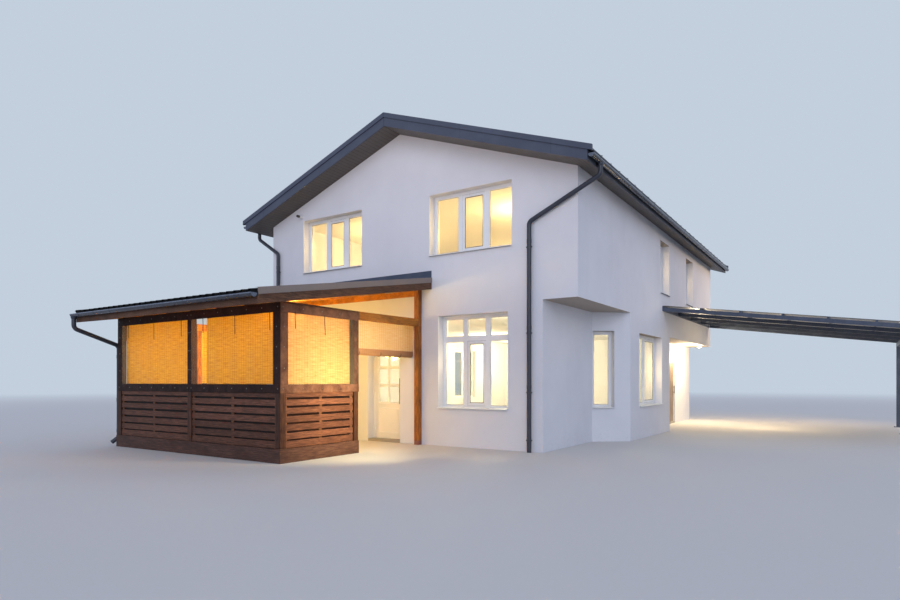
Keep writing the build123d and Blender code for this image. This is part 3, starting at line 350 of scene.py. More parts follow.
# Soffits: the same coil in a dark brown-grey, rolled to narrow ribs 90 mm apart that run out from the wall.
# The grooves between them hold shadow; the strips are clipped together and show no fixings.
soffit_strip, tree, shader, place = material("ribbed_soffit_strip", "#5C5651", Roughness=0.5,
                                             Specular_IOR_Level=0.4)
axes = node(tree, "SeparateXYZ", place)
at_gable = node(tree, "Math", axes.outputs["Y"], operation="ABSOLUTE")
at_gable = node(tree, "Math", at_gable, 6.349, operation="GREATER_THAN")
across = node(tree, "Mix", at_gable, None, axes.outputs["Y"], axes.outputs["X"])
groove = node(tree, "MapRange", node(tree, "Math", across, 0.045, operation="PINGPONG"), 0.0, 0.009, 1.0, 0.0)
tone = node(tree, "MixRGB", node(tree, "TexNoise", place, Scale=3.0, Detail=4.0), "#544E49", "#655E58")
node(tree, shader, Base_Color=node(tree, "MixRGB", groove, tone, "#1A1716"),
     Normal=node(tree, "Bump", Height=node(tree, "Math", 1.0, groove, operation="SUBTRACT"), Distance=0.006))
dress(["soffits"], soffit_strip)

# Gutters: half-round steel, 125 mm wide, with a bead rolled on the outer rim. Straps every 600 mm carry them,
# each end has a pressed cap, and a short funnel feeds each downpipe.
TURN = np.linspace(math.pi, 2 * math.pi, 15)
ROUND = np.linspace(-0.3, 1.35 * math.pi, 7)
TROUGH = np.vstack([
    np.stack([np.cos(TURN), np.sin(TURN)], -1) * 59,
    np.stack([51.5 + 7.5 * np.cos(ROUND + 0.3), 2 + 7.5 * np.sin(ROUND + 0.3)], -1)[1:],
    np.stack([np.cos(TURN[::-1]), np.sin(TURN[::-1])], -1)[1:] * 56])
CAP = np.vstack([np.stack([np.cos(TURN), np.sin(TURN)], -1) * 61, [(61, 6), (-61, 6)]])
EAVE_X, EAVE_Z, PIPE_Y = 4770, 5503.9, -6425
# start, end, outlet in plan
gutter_runs = [((EAVE_X, -6900, EAVE_Z), (EAVE_X, 6950, EAVE_Z), (EAVE_X, PIPE_Y)),
               ((-EAVE_X, 6950, EAVE_Z), (-EAVE_X, -6900, EAVE_Z), (-EAVE_X, PIPE_Y)),
               ((-4840, -11154, 2800), (890, -11154, 2800), (-4791, -11154))]


def turned(outline, foot, steps=24):
    """An outline of radius and height turned round an upright axis, closed at both ends by discs."""
    angle = np.linspace(0, 2 * math.pi, steps, endpoint=False)
    outline = np.asarray(outline, float)
    ring = np.stack([np.cos(angle), np.sin(angle)], -1)
    flat = outline[:, None, :1] * ring[None]
    points = np.concatenate([flat, np.broadcast_to(outline[:, None, 1:], flat.shape[:2] + (1,))], -1)
    index = np.arange(len(outline) * steps).reshape(len(outline), steps)
    after = np.roll(index, -1, axis=1)
    faces = np.stack([index[:-1], after[:-1], after[1:], index[1:]], -1).reshape(-1, 4).tolist()
    faces += [index[0][::-1].tolist(), index[-1].tolist()]
    points = points.reshape(-1, 3) + np.asarray(foot, float)
    return points, faces, np.stack([points[:, 2], points[:, 0] + points[:, 1]], -1)


gutter_parts, strap_parts = [], []
for start, end, outlet in gutter_runs:
    start, end = np.array(start, float), np.array(end, float)
    ahead = (end - start) / np.linalg.norm(end - start)
    outward = np.cross(ahead, (0, 0, 1))
    gutter_parts.append(carried(TROUGH, [start + 9 * ahead, end - 9 * ahead]))
    gutter_parts += [carried(CAP, [start, start + 10 * ahead]), carried(CAP, [end - 10 * ahead, end])]
    z = start[2]
    gutter_parts.append(turned([(47, z - 96), (60, z - 66), (61, z - 52), (57, z - 50)], (*outlet, 0)))
    for way in np.arange(330, np.linalg.norm(end - start), 600):
        middle = start + way * ahead
        wrap = middle + 60.5 * (np.cos(TURN)[:, None] * outward + np.sin(TURN)[:, None] * np.array([0, 0, 1]))
        wrap = np.vstack([wrap[:1] + (0, 0, 30), wrap])
        strap_parts.append(carried(rectangle(3, 26), wrap, up=ahead))
        strap_parts.append(carried(rectangle(26, 3), [middle + 60 * outward + (0, 0, 5),
                                                      middle - 60 * outward + (0, 0, 5)]))
# The gutters' paint is glossier than the pipes'.
# The gutters' upper faces carry a pale blue-grey painted highlight, for the sky they reflect.
gutter_steel = painted_steel("graphite_gutter_steel", "#2A2E38", 0.26, dust="#4E5664", painted_highlight="#8F9BB2")
gutter_shader = gutter_steel.node_tree.nodes["Principled BSDF"]
gutter_shader.inputs["Coat Weight"].default_value = 0.4
gutter_shader.inputs["Coat Roughness"].default_value = 0.12
pipe_steel = painted_steel("graphite_pipe_steel", "#31343D", 0.34, dust="#4A505C")
piece("gutter_troughs", gutter_parts, gutter_steel, instead_of=["gutters"], smooth=True)
piece("gutter_straps", strap_parts, gutter_steel)

# Downpipes: round pipe 90 mm wide of the same steel, with bends pushed together.
# A sleeve covers each joint, and hinged clips hold the pipe to the wall.
def bent(corners, radius):
    """A route whose corners are turned with a radius: each corner gives way to an arc of nine points that
    touches both its runs, at radius times the tangent of half the turn from the corner."""
    corners = np.asarray(corners, float)
    route = [corners[:1]]
    for before, at, after in zip(corners, corners[1:], corners[2:]):
        back, ahead = before - at, after - at
        back, ahead = back / np.linalg.norm(back), ahead / np.linalg.norm(ahead)
        half = math.acos(np.clip(back @ ahead, -1, 1)) / 2
        centre = at + (back + ahead) / np.linalg.norm(back + ahead) * radius / math.sin(half)
        first = at + back * radius / math.tan(half) - centre
        last = at + ahead * radius / math.tan(half) - centre
        share = np.linspace(0, 1, 9)[:, None]
        swing = math.pi - 2 * half
        arc = np.sin((1 - share) * swing) * first + np.sin(share * swing) * last
        route.append(centre + arc / math.sin(swing))
    route.append(corners[-1:])
    return np.vstack(route)


def ring(radius, steps=20):
    """A circle's points, counter-clockwise."""
    angle = np.linspace(0, 2 * math.pi, steps, endpoint=False)
    return radius * np.stack([np.cos(angle), np.sin(angle)], -1)


RIGHT_X, LEFT_X = 3310, -4030
pipe_routes = [
    [(EAVE_X, PIPE_Y, 5436), (EAVE_X, PIPE_Y, 5250), (RIGHT_X, PIPE_Y, 4580), (RIGHT_X, PIPE_Y, 0)],
    [(-EAVE_X, PIPE_Y, 5436), (-EAVE_X, PIPE_Y, 5250), (LEFT_X, PIPE_Y, 4780), (LEFT_X, PIPE_Y, 3712)],
    [(-4791, -11154, 2734), (-4791, -11154, 2510), (-4775, -10230, 2190), (-4775, -10230, 190),
     (-4875, -10330, 80)]]
pipes = [carried(ring(45), bent(route, 110), up=(0.31, 0.95, 0.02)) for route in pipe_routes]
sleeves = [(RIGHT_X, PIPE_Y, z) for z in (4190, 2480, 1300)] + [(LEFT_X, PIPE_Y, 4420)]
sleeves += [(-4775, -10230, z) for z in (1950, 1000, 330)]
for x, y, z in sleeves:
    sleeve = [(45, z - 40), (48.5, z - 38), (48.5, z + 34), (50.5, z + 36), (50.5, z + 42), (45, z + 44)]
    pipes.append(turned(sleeve, (x, y, 0)))
clips = [(RIGHT_X, z) for z in (4080, 2370, 1190, 240)] + [(LEFT_X, z) for z in (4300, 3800)]
for x, z in clips:
    pipes.append(turned([(46, z - 14), (50, z - 14), (50, z + 14), (46, z + 14)], (x, PIPE_Y, 0)))
    pipes.append(block((x - 9, -6380, z - 9), (x + 9, -6350, z + 9), 1))
    pipes.append(block((x - 66, -6431, z - 12), (x - 46, -6419, z + 12), 0))
    pipes.append(block((x + 46, -6431, z - 12), (x + 66, -6419, z + 12), 0))
piece("downpipe_runs", pipes, pipe_steel, instead_of=["downpipes"], smooth=True)


# Windows: white PVC sections, welded at the corners, 70 mm deep and set 200 mm back in the wall.
# Opening lights carry a second frame, the sash, in front of the glass; black gaskets seal the panes.
FRONT, BACK, RIGHT, LEFT = (0, -6350, 0), (0, 6350, 180), (4300, -6350, 90), (-4300, 6350, -90)
OBLIQUE = (3570, -3650, math.degrees(math.atan2(560, 730)))
# wall, start along it, width, sill, head, columns, transom, opening lights as (column, row)
WINDOWS = [
    (FRONT, 830, 2050, 4175, 5530, 3, None, [(1, 0)]),
    (FRONT, -3145, 1985, 4175, 5530, 3, None, [(1, 0)]),
    (FRONT, 1065, 1725, 820, 2845, 3, 2330, [(1, 0)]),
    (OBLIQUE, 25, 510, 785, 2595, 1, None, []),
    (RIGHT, 3980, 2080, 785, 2595, 2, None, [(1, 0)]),
    (RIGHT, 5900, 940, 3810, 5240, 1, None, [(0, 0)]),
    (RIGHT, 8880, 940, 3810, 5240, 1, None, [(0, 0)]),
    (LEFT, 5860, 940, 3810, 5240, 1, None, [(0, 0)]),
    (LEFT, 2880, 940, 3810, 5240, 1, None, [(0, 0)]),
    (LEFT, 8800, 1500, 785, 2595, 2, None, [(0, 0)]),
    (LEFT, 2900, 1500, 785, 2595, 2, None, [(0, 0)]),
    (BACK, -2880, 2050, 4175, 5530, 3, None, [(1, 0)]),
    (BACK, 1160, 1985, 4175, 5530, 3, None, [(1, 0)]),
    (BACK, -2790, 1725, 820, 2845, 3, 2330, [(1, 0)]),
    (BACK, 1420, 1725, 820, 2845, 3, 2330, [(1, 0)]),
]


def on_wall(wall, part):
    """Turn a part from a wall's own axes (along, into the house, up) to the house's axes."""
    x, y, angle = wall
    cos, sin = math.cos(math.radians(angle)), math.sin(math.radians(angle))
    points, faces, uv = part
    turn = np.array([(cos, sin, 0), (-sin, cos, 0), (0, 0, 1)])
    return points @ turn + (x, y, 0), faces, uv


def frame_ring(x0, x1, z0, z1, section, y):
    """A mitred frame: an outline of two numbers, inwards from the rectangle's edge and towards the house,
    carried round the rectangle's four corners."""
    section = np.asarray(section, float)
    corners = np.array([(x0, z0, 1, 1), (x1, z0, -1, 1), (x1, z1, -1, -1), (x0, z1, 1, -1)], float)
    x = corners[:, None, 0] + corners[:, None, 2] * section[None, :, 0]
    z = corners[:, None, 1] + corners[:, None, 3] * section[None, :, 0]
    points = np.stack([x, np.broadcast_to(y + section[:, 1], x.shape), z], -1)
    index = np.arange(4 * len(section)).reshape(4, len(section))
    after, beyond = np.roll(index, -1, axis=1), np.roll(index, -1, axis=0)
    faces = np.stack([index, beyond, np.roll(beyond, -1, axis=1), after], -1).reshape(-1, 4).tolist()
    points = points.reshape(-1, 3)
    return points, faces, np.stack([points[:, 0] + points[:, 2], points[:, 1]], -1)


# inwards, into the house; the first side faces out; the opening lights have a wider gasket, partly the real
# gasket and partly painted shade for the shadow in the gap round the sash.
# Depths below are from the wall's face into the house.
SASH = [(0, 0), (50, 0), (58, 6), (58, 16), (0, 16)]
BEAD = [(0, 0), (6, 0), (14, 9), (14, 14), (0, 14)]
GASKET = [(0, 0), (5, 0), (5, 3), (0, 3)]
# Painted shade: the wide gasket, 18 mm across, also stands for the shadow in the gap round the sash.
GASKET_AND_GAP_SHADE = [(-6, -5), (12, -5), (12, 3), (-6, 3)]
INWARDS = np.array([1, -1, 1, -1])
FACE, MULLION = 65, 95
window_trim, gaskets = [], []
for wall, start, width, sill, head, columns, transom, opening in WINDOWS:
    clear = (width - 2 * FACE - (columns - 1) * MULLION) / columns
    rows = [(sill + FACE, head - FACE)]
    if transom:
        rows = [(sill + FACE, transom - MULLION / 2), (transom + MULLION / 2, head - FACE)]
    for column in range(columns):
        x0 = start + FACE + column * (clear + MULLION)
        for row, (z0, z1) in enumerate(rows):
            edges = np.array([x0, x0 + clear, z0, z1])
            if (column, row) in opening:
                section, depth, edge, pane_edge, lip = SASH, 204, 4, 62, GASKET_AND_GAP_SHADE
                gaskets.append(on_wall(wall, frame_ring(*edges, GASKET, 207)))
            else:
                section, depth, edge, pane_edge, lip = BEAD, 206, 0, 14, GASKET
            window_trim.append(on_wall(wall, frame_ring(*(edges + edge * INWARDS), section, depth)))
            gaskets.append(on_wall(wall, frame_ring(*(edges + pane_edge * INWARDS), lip, 218)))


def white_vinyl(name, color="#E9E9E7"):
    """Extruded PVC: smooth and semi-matt, with the faintest chalking and a little dust, in patches."""
    made, tree, shader, place = material(name, color, Roughness=0.38, Specular_IOR_Level=0.5)
    chalk = node(tree, "MapRange", node(tree, "TexNoise", place, Scale=2.2, Detail=4.0), 0.4, 0.75, 0.0, 0.3)
    matt = node(tree, "MapRange", node(tree, "TexNoise", place, Scale=30.0, Detail=3.0), 0.3, 0.7, 0.32, 0.5)
    skin = node(tree, "TexNoise", place, Scale=300.0)
    node(tree, shader, Base_Color=node(tree, "MixRGB", chalk, color, "#D4D3CF"), Roughness=matt,
         Normal=node(tree, "Bump", Height=skin, Distance=0.0003, Strength=0.4))
    return made


frame_vinyl = white_vinyl("extruded_white_pvc")
dress(["window_frames", "terrace_door_frame", "entrance_door_frame"], frame_vinyl)
piece("window_sashes", window_trim, frame_vinyl, eased=1.5)
# Extruded rubber: a dull black line round each pane, a little greyer in patches.
gasket_rubber, tree, shader, place = material("extruded_epdm_gasket", "#26282A", Roughness=0.6)
cloud = node(tree, "TexNoise", place, Scale=40.0)
node(tree, shader, Base_Color=node(tree, "MixRGB", cloud, "#222426", "#303234"))
piece("window_gaskets", gaskets, gasket_rubber)

# Panes: clear float glass, which mirrors the sky at a glancing view and hardly shows from straight on.
# The rooms behind are lit, so their pale yellow walls show through.
pane_glass, tree, shader, place = material("clear_float_glass", "#F4F7FA")
tree.nodes.remove(shader)
facing = node(tree, "LayerWeight", Blend=0.5).outputs["Facing"]
mirror = node(tree, "Math", node(tree, "Math", facing, 4.0, operation="POWER"), 0.6, 0.05,
              operation="MULTIPLY_ADD")
smear = node(tree, "MapRange", node(tree, "TexNoise", place, Scale=1.4, Detail=3.0), 0.3, 0.7, 0.01, 0.04)
chosen = node(tree, "MixShader", mirror, node(tree, "BsdfTransparent", "#FBFBF6"),
              node(tree, "BsdfGlossy", "#F4F7FA", smear))
node(tree, tree.nodes["Material Output"], chosen)
dress(["window_glass", "toplight_glass", "terrace_door_glass"], pane_glass)

# Sills: sheet coated white above, folded to a fall of 1 in 20, with a drip lip in front and upturned ends
# that keep rain off the reveals. Faces that point down are grey: partly the sheet's grey back coat, partly
# painted shade for the shadow under the sill.
sill_parts = []
for wall, start, width, sill, head, *_ in WINDOWS:
    z = sill
    outline = np.array([(-45, z), (-43, z), (-43, z + 15.5), (200, z + 27.5), (200, z + 30), (-45, z + 18)])
    path = [(start + 2, 0, 0), (start + width - 2, 0, 0)]
    # carried along +x the side is -y, so the outline is mirrored to run out of the house
    sill_parts.append(on_wall(wall, carried(np.stack([-outline[:, 0], outline[:, 1]], -1)[::-1], path)))
    sill_parts.append(on_wall(wall, block((start + 2, -40, z), (start + width - 2, 200, z + 13), 0)))
    for x in (start, start + width - 4):
        end = np.array([(-45, z - 2), (200, z + 10), (200, z + 40), (-45, z + 24)])
        points = np.array([(px, y, height) for px in (x, x + 4) for y, height in end])
        faces = [(0, 1, 2, 3), (7, 6, 5, 4)] + [(i, 4 + i, 4 + (i + 1) % 4, (i + 1) % 4) for i in range(4)]
        sill_parts.append(on_wall(wall, (points, faces, points[:, 1:])))
sill_sheet = painted_steel("white_coated_sill_sheet", "#DEDEDC", 0.4, dust="#B9B8B4")
tree = sill_sheet.node_tree
front_coat = tree.nodes["Principled BSDF"].inputs["Base Color"].links[0].from_socket
# Painted shade: faces that point down are darkened to grey.
upward = node(tree, "SeparateXYZ", node(tree, "TexCoord").outputs["Normal"]).outputs["Z"]
below = node(tree, "Math", upward, -0.5, operation="LESS_THAN")
node(tree, tree.nodes["Principled BSDF"], Base_Color=node(tree, "MixRGB", below, front_coat, "#55575C"))
piece("sill_sheets", sill_parts, sill_sheet, instead_of=["window_sills"])

# Terrace door: a white PVC leaf with a pane above and a flat panel below. Two bars and one upright
# divide the pane into six. It swings on white hinges and has a long dark steel bar on its right.
LEAF_FACE, PANE_FACE = -6150, -6132
door_parts, door_gaskets = [], []
x0, x1, z0, z1 = -795, -175, 900, 2150
PANE_BEAD = [(-22, -6), (-4, -6), (14, 4), (14, 22), (-22, 22)]
door_parts.append(frame_ring(x0, x1, z0, z1, PANE_BEAD, LEAF_FACE))
PANE_GASKET = [(0, 0), (4, 0), (4, 3), (0, 3)]
door_gaskets.append(frame_ring(x0 + 14, x1 - 14, z0 + 14, z1 - 14, PANE_GASKET, PANE_FACE))
BAR = [(-34, -5), (34, -5), (34, 2), (27, 7), (-27, 7), (-34, 2)]
for z in (z0 + (z1 - z0) / 3, z0 + (z1 - z0) * 2 / 3):
    door_parts.append(carried(BAR, [(x1 - 4, -6134, z), (x0 + 4, -6134, z)], up=(0, -1, 0)))
middle = (x0 + x1) / 2
door_parts.append(carried(BAR, [(middle, -6133, z0 + 4), (middle, -6133, z1 - 4)], up=(0, -1, 0)))
PANEL_BEAD = [(0, 0), (10, -5), (24, -5), (34, 0), (34, 4), (0, 4)]
door_parts.append(frame_ring(-790, -180, 190, 790, PANEL_BEAD, LEAF_FACE))
LEAF_EDGE = [(0, 0), (0, -7), (9, -7), (13, 0)]
door_parts.append(frame_ring(-900, -70, 65, 2255, LEAF_EDGE, LEAF_FACE))
piece("terrace_door_trim", door_parts, frame_vinyl, body="terrace_door", eased=1.0)
piece("terrace_door_gasket", door_gaskets, gasket_rubber, body="terrace_door")
dress(["terrace_door_leaf"], white_vinyl("moulded_white_pvc_leaf", "#E6E4DE"))
piece("toplight_beads", [frame_ring(-905, -60, 2320, 2785, BEAD, LEAF_FACE + 6)], frame_vinyl,
      eased=1.0)
piece("toplight_gasket", [frame_ring(-891, -74, 2334, 2771, GASKET, PANE_FACE)], gasket_rubber)


def satin_steel(name, color, roughness=0.34):
    """Stainless steel brushed along its length: soft streaked mirror, darkened a little by handling."""
    made, tree, shader, place = material(name, color, Metallic=1.0, Roughness=roughness)
    streak = node(tree, "TexNoise", node(tree, "Mapping", place, Scale=(1, 1, 0.04)), Scale=260.0, Detail=3.0)
    handled = node(tree, "TexNoise", place, Scale=14.0, Detail=3.0)
    node(tree, shader, Base_Color=node(tree, "MixRGB", handled, color, "#56534E"),
         Roughness=node(tree, "MapRange", streak, 0.3, 0.7, roughness - 0.06, roughness + 0.12),
         Normal=node(tree, "Bump", Height=streak, Distance=0.0002, Strength=0.5))
    return made


dress(["terrace_door_handle"], satin_steel("bronzed_brushed_steel", "#6A645C"))
LOCK = [(26, 0), (26, 4), (22, 6), (10, 6), (10, 9), (7, 10)]
lock_points, lock_faces, lock_uv = turned(LOCK, (0, 0, 0))
lock = np.stack([lock_points[:, 0] - 122.5, LEAF_FACE - lock_points[:, 2], lock_points[:, 1] + 800], -1)
piece("terrace_door_lock", [(lock, lock_faces, lock_uv)], satin_steel("brushed_steel_rose", "#8E8A84"),
      body="terrace_door", smooth=True)

# Entrance door: a steel-faced leaf with a woodgrain foil in dark taupe, pressed with three flat panels.
# The foil's drawn pores show in the lamplight. Its handle stands on a long plate.
entrance_foil, tree, shader, place = material("taupe_woodgrain_foil_on_steel", "#8A745C", Roughness=0.45)
drawn = node(tree, "TexNoise", node(tree, "Mapping", place, Scale=(1, 6, 0.25)), Scale=9.0, Detail=6.0,
             Roughness=0.65)
pores = node(tree, "TexNoise", node(tree, "Mapping", place, Scale=(1, 4, 0.1)), Scale=60.0, Detail=4.0)
drawn = node(tree, "MapRange", drawn, 0.35, 0.65)
node(tree, shader, Base_Color=node(tree, "MixRGB", drawn, "#7A6650", "#9A8468"),
     Normal=node(tree, "Bump", Height=pores, Distance=0.0006, Strength=0.6))
dress(["entrance_door_leaf"], entrance_foil)
dress(["entrance_door_handle"], satin_steel("brushed_steel_lever", "#9A968F"))
PORCH = (3570, -6350, 90)
PRESSED_RIM = [(0, 0), (7, -6), (20, -6), (30, 0), (30, 4), (0, 4)]
PRESSED_FIELD = [(0, 0), (10, -5), (60, -5), (60, 4), (0, 4)]
panels = []
for low, high in ((190, 770), (860, 1440), (1530, 2110)):
    panels.append(on_wall(PORCH, frame_ring(9665, 10370, low, high, PRESSED_RIM, 30)))
    panels.append(on_wall(PORCH, frame_ring(9735, 10300, low + 70, high - 70, PRESSED_FIELD, 30)))
piece("entrance_door_panels", panels, entrance_foil, body="entrance_door", eased=1.0)
piece("entrance_handle_plate", [on_wall(PORCH, block((10390, 26, 960), (10445, 32, 1300), 2))],
      satin_steel("brushed_steel_plate", "#8E8A84"), body="entrance_door", eased=2.0)


# Terrace frame: square softwood posts and beams, planed and given a brown stain that has gone in
# unevenly. They are joined by screws from behind, so only the grain and knots show.
def stained(name, light, dark, axis=None, lamplit_tones=None, contrast=1.0, turn_at=None):
    """Softwood under a translucent brown stain: growth rings drawn out along the board, patches that drank
    more, small knots with a dark rim, and a low waxy sheen. The grain follows the piece's UV, or one of its
    own axes. Real rings are 3 mm apart and would not show, so they are drawn 30 mm apart, with fine fibre on
    top. Each board of a piece has its own tone. Near the house and at the far left, wood may be given a
    second pair of far lighter, warmer tones: painted lamplight, for the warm light that falls there. Behind
    the line turn_at, in metres, the grain runs along Y instead of X."""
    made, tree, shader, place = material(name, light, Roughness=0.55, Specular_IOR_Level=0.3)
    drawn, knotted = (1, 13, 1), (2.2, 5, 1)
    if axis is None:
        grain = node(tree, "UVMap", uv_map="grain")
        lot = node(tree, "Math", node(tree, "SeparateXYZ", grain), 7.0, operation="SNAP")
    else:
        grain = place
        drawn = tuple(1 if i == axis else 13 for i in range(3))
        knotted = tuple(2.2 if i == axis else 5 for i in range(3))
        if turn_at is not None:
            behind = node(tree, "Math", node(tree, "SeparateXYZ", place).outputs["Y"], turn_at,
                          operation="GREATER_THAN")
            grain = node(tree, "Mapping", place, Rotation=(0, 0, math.pi / 2))
            grain = node(tree, "MixRGB", behind, place, grain)
        lot = node(tree, "Math", node(tree, "SeparateXYZ", grain).outputs[1 if axis == 0 else 0], 0.45,
                   operation="SNAP")
    rings = node(tree, "TexNoise", node(tree, "Mapping", grain, Scale=drawn), Scale=4.6, Detail=5.0,
                 Roughness=0.66)
    fibre = node(tree, "TexNoise", node(tree, "Mapping", grain, Scale=drawn), Scale=24.0, Detail=3.0)
    patches = node(tree, "TexNoise", node(tree, "Mapping", grain, Scale=tuple(min(n, 3) for n in drawn)),
                   Scale=1.6, Detail=4.0, Roughness=0.6)
    tones = [(light, dark)] + ([lamplit_tones] if lamplit_tones else [])
    share = node(tree, "MapRange", rings, 0.38, 0.64, 1.0, 0.0)
    both = [node(tree, "MixRGB", share, *tone) for tone in tones]
    tone = both[0]
    # Painted lamplight: near the house the wood takes the far lighter tones.
    if lamplit_tones:
        spot = node(tree, "SeparateXYZ", place)
        back = node(tree, "Math", spot, -0.03, spot.outputs["Y"], operation="MULTIPLY_ADD")
        near = node(tree, "MapRange", back, -8.32, -8.28)
        tone = node(tree, "MixRGB", near, *both)
    drunk = node(tree, "MapRange", patches, 0.40, 0.70, 0.0, 0.55 * contrast)
    tone = node(tree, "MixRGB", drunk, tone, dark if not lamplit_tones else "#2E170D")
    fleck = node(tree, "MapRange", fibre, 0.5, 0.72, 0.0, 0.4 * contrast)
    tone = node(tree, "MixRGB", fleck, tone, dark)
    drawn_lot = node(tree, "TexWhiteNoise", W=lot, noise_dimensions="1D")
    cast = node(tree, "MapRange", drawn_lot, 0.0, 1.0, 0.72, 1.22)
    tone = node(tree, "HueSaturation", None, None, cast, 1.0, tone)
    knots = node(tree, "TexVoronoi", node(tree, "Mapping", grain, Scale=knotted), Scale=1.0)
    rim = node(tree, "MapRange", knots, 0.035, 0.10, 0.9, 0.0)
    some = node(tree, "SeparateXYZ", knots.outputs["Color"])
    some = node(tree, "Math", some, 0.5, operation="GREATER_THAN")
    tone = node(tree, "MixRGB", node(tree, "Math", rim, some, operation="MULTIPLY"), tone, "#1A0E09")
    raised = node(tree, "Math", fibre, 0.6, rings, operation="MULTIPLY_ADD")
    node(tree, shader, Base_Color=tone, Roughness=node(tree, "MapRange", rings, 0.3, 0.7, 0.5, 0.68),
         Normal=node(tree, "Bump", Height=raised, Distance=0.002, Strength=0.7))
    return made


# Near the house, the posts and beams get painted lamplight: far lighter orange tones for the warm light that
# falls there.
LAMPLIT, LAMPLIT_DARK = "#CA7E34", "#884A1E"
dress(["terrace_posts"], stained("stained_spruce_posts", "#5C3A27", "#2E1A12", 2, (LAMPLIT, LAMPLIT_DARK)))
dress(["terrace_ring_beams"], stained("stained_spruce_beams", "#6A432B", "#381F14", 0, ("#DE8C28", "#A8641E"),
                                      turn_at=-10.17))
dress(["terrace_barge_boards"], stained("stained_spruce_barge_boards", "#7E5840", "#462D1E", 1, contrast=1.2))
dress(["terrace_rafters"], stained("oiled_spruce_rafters", "#F2B452", "#BE7E30", 1))

# Footing of the wall post: a block of paving brick set on edge in mortar, rough and reddish.
footing_brick, tree, shader, place = material("pressed_paving_brick", "#8A5646", Roughness=0.85)
node(tree, shader, Base_Color=node(tree, "MixRGB", node(tree, "TexNoise", place, Scale=38.0, Detail=5.0,
                                                        Roughness=0.7), "#6E4236", "#A06A57"),
     Normal=node(tree, "Bump", Height=node(tree, "TexNoise", place, Scale=120.0, Detail=4.0), Distance=0.003))
dress(["wall_post_footing"], footing_brick)

# Parapet: sawn boards 20 mm thick and about 117 mm high, nailed to both sides of upright battens.
# The inner row covers the outer row's gaps and is painted near-black, as painted shade, so the gaps look
# black, apart from where a batten shows.
BOARD_EDGES = [(250, 375), (403, 514), (548, 660), (694, 805), (846, 950), (991, 1096), (1131, 1338)]
INNER_EDGES = [(120, 300), (330, 446), (474, 592), (620, 738), (768, 884), (916, 1030), (1058, 1180),
               (1210, 1338)]
waver = np.random.default_rng(11)
outer_boards, inner_boards, battens, rails = [], [], [], []


def boarding(start, end, out, gap_at_end=0.0):
    """One bay of boarding from start to end in plan. Out is the outward direction; the boards' outer face is
    on the line from start to end. Each board is set off by up to 4 mm in height and 3 mm in depth."""
    start, end, out = (np.array(p, float) for p in (start, end, out))
    ahead = (end - start) / np.linalg.norm(end - start)
    for rows, depth, into in ((BOARD_EDGES, 0, outer_boards), (INNER_EDGES, 40, inner_boards)):
        for low, high in rows:
            shift, sink, tilt = waver.uniform(-3, 3), waver.uniform(0, 3), waver.uniform(-2, 2)
            line = np.array([start, end - gap_at_end * ahead]) - (depth + 10 + sink) * out
            z = (low + high) / 2 + (shift + tilt * np.array([-1, 1])) * (250 < low < 1100)
            into.append(carried(rectangle(19, high - low), [(*line[0], z[0]), (*line[1], z[1])]))
    length = np.linalg.norm(end - start)
    for way, wide in ((30, 60), (length - gap_at_end - 30, 60), (length / 2, 70)):
        foot = start + way * ahead - 30 * out
        battens.append(carried(rectangle(wide, 19) if abs(out[1]) else rectangle(19, wide),
                               [(*foot, 60), (*foot, 1338)], up=(0, 1, 0)))
    line = np.array([start, end]) - 30 * out
    rails.append(carried(rectangle(60, 22), [(*line[0], 1349), (*line[1], 1349)]))


boarding((-4580, -10275), (-2160, -10275), (0, -1))
boarding((-2040, -10275), (380, -10275), (0, -1))
boarding((485, -10170), (485, -8440), (1, 0), gap_at_end=14)
boarding((-4685, -8440), (-4685, -10170), (-1, 0))
boarding((-4685, -6470), (-4685, -8320), (-1, 0))
board_wood = stained("stained_spruce_boards", "#80523E", "#452A1D", contrast=1.1)
# Painted shade: the inner boards are near-black, for the shadow seen through the gaps.
inner_wood_painted_shade = stained("spruce_inner_boards_painted_shade", "#2A1812", "#140A07")
piece("parapet_boards", outer_boards, board_wood, instead_of=["terrace_parapets"], eased=2.5)
piece("parapet_inner_boards", inner_boards, inner_wood_painted_shade, eased=2.5)
piece("parapet_battens", battens, stained("stained_spruce_battens", "#8F6044", "#54341F"),
      eased=2.0)
rails += [block((-4700, -10315, 0), (500, -10291, 248), 0), block((501, -10315, 0), (525, -8320, 248), 1),
          block((-4725, -10315, 0), (-4701, -6351, 248), 1)]
piece("parapet_rails_and_base", rails, stained("weathered_base_boards", "#6A4A3C", "#3A241C", contrast=1.2),
      eased=3.0)

# Soft windows: clear PVC film welded to a border of dark brown tarpaulin, held over the posts and beams by
# steel eyelets 375 mm apart. The film billows a little between them; straps hang from the top border, and
# a lace zigzags down the loose end of the right one.
soft_film, tree, shader, place = material("clear_pvc_film", "#EBDDC4", Roughness=0.12)
facing = node(tree, "LayerWeight", Blend=0.5).outputs["Facing"]
haze = node(tree, "Math", facing, 4.0, operation="POWER")
haze = node(tree, "Math", haze, 0.45, 0.05, operation="MULTIPLY_ADD")
cloud = node(tree, "MapRange", node(tree, "TexNoise", place, Scale=3.0, Detail=4.0), 0.5, 0.8, 0.0, 0.06)
haze = node(tree, "Math", haze, cloud, operation="ADD")
node(tree, shader, Normal=node(tree, "Bump", Height=node(tree, "TexNoise", place, Scale=4.0, Detail=3.0),
                               Distance=0.01, Strength=0.5))
node(tree, tree.nodes["Material Output"],
     node(tree, "MixShader", haze, node(tree, "BsdfTransparent", "#FFF8EA"), shader))

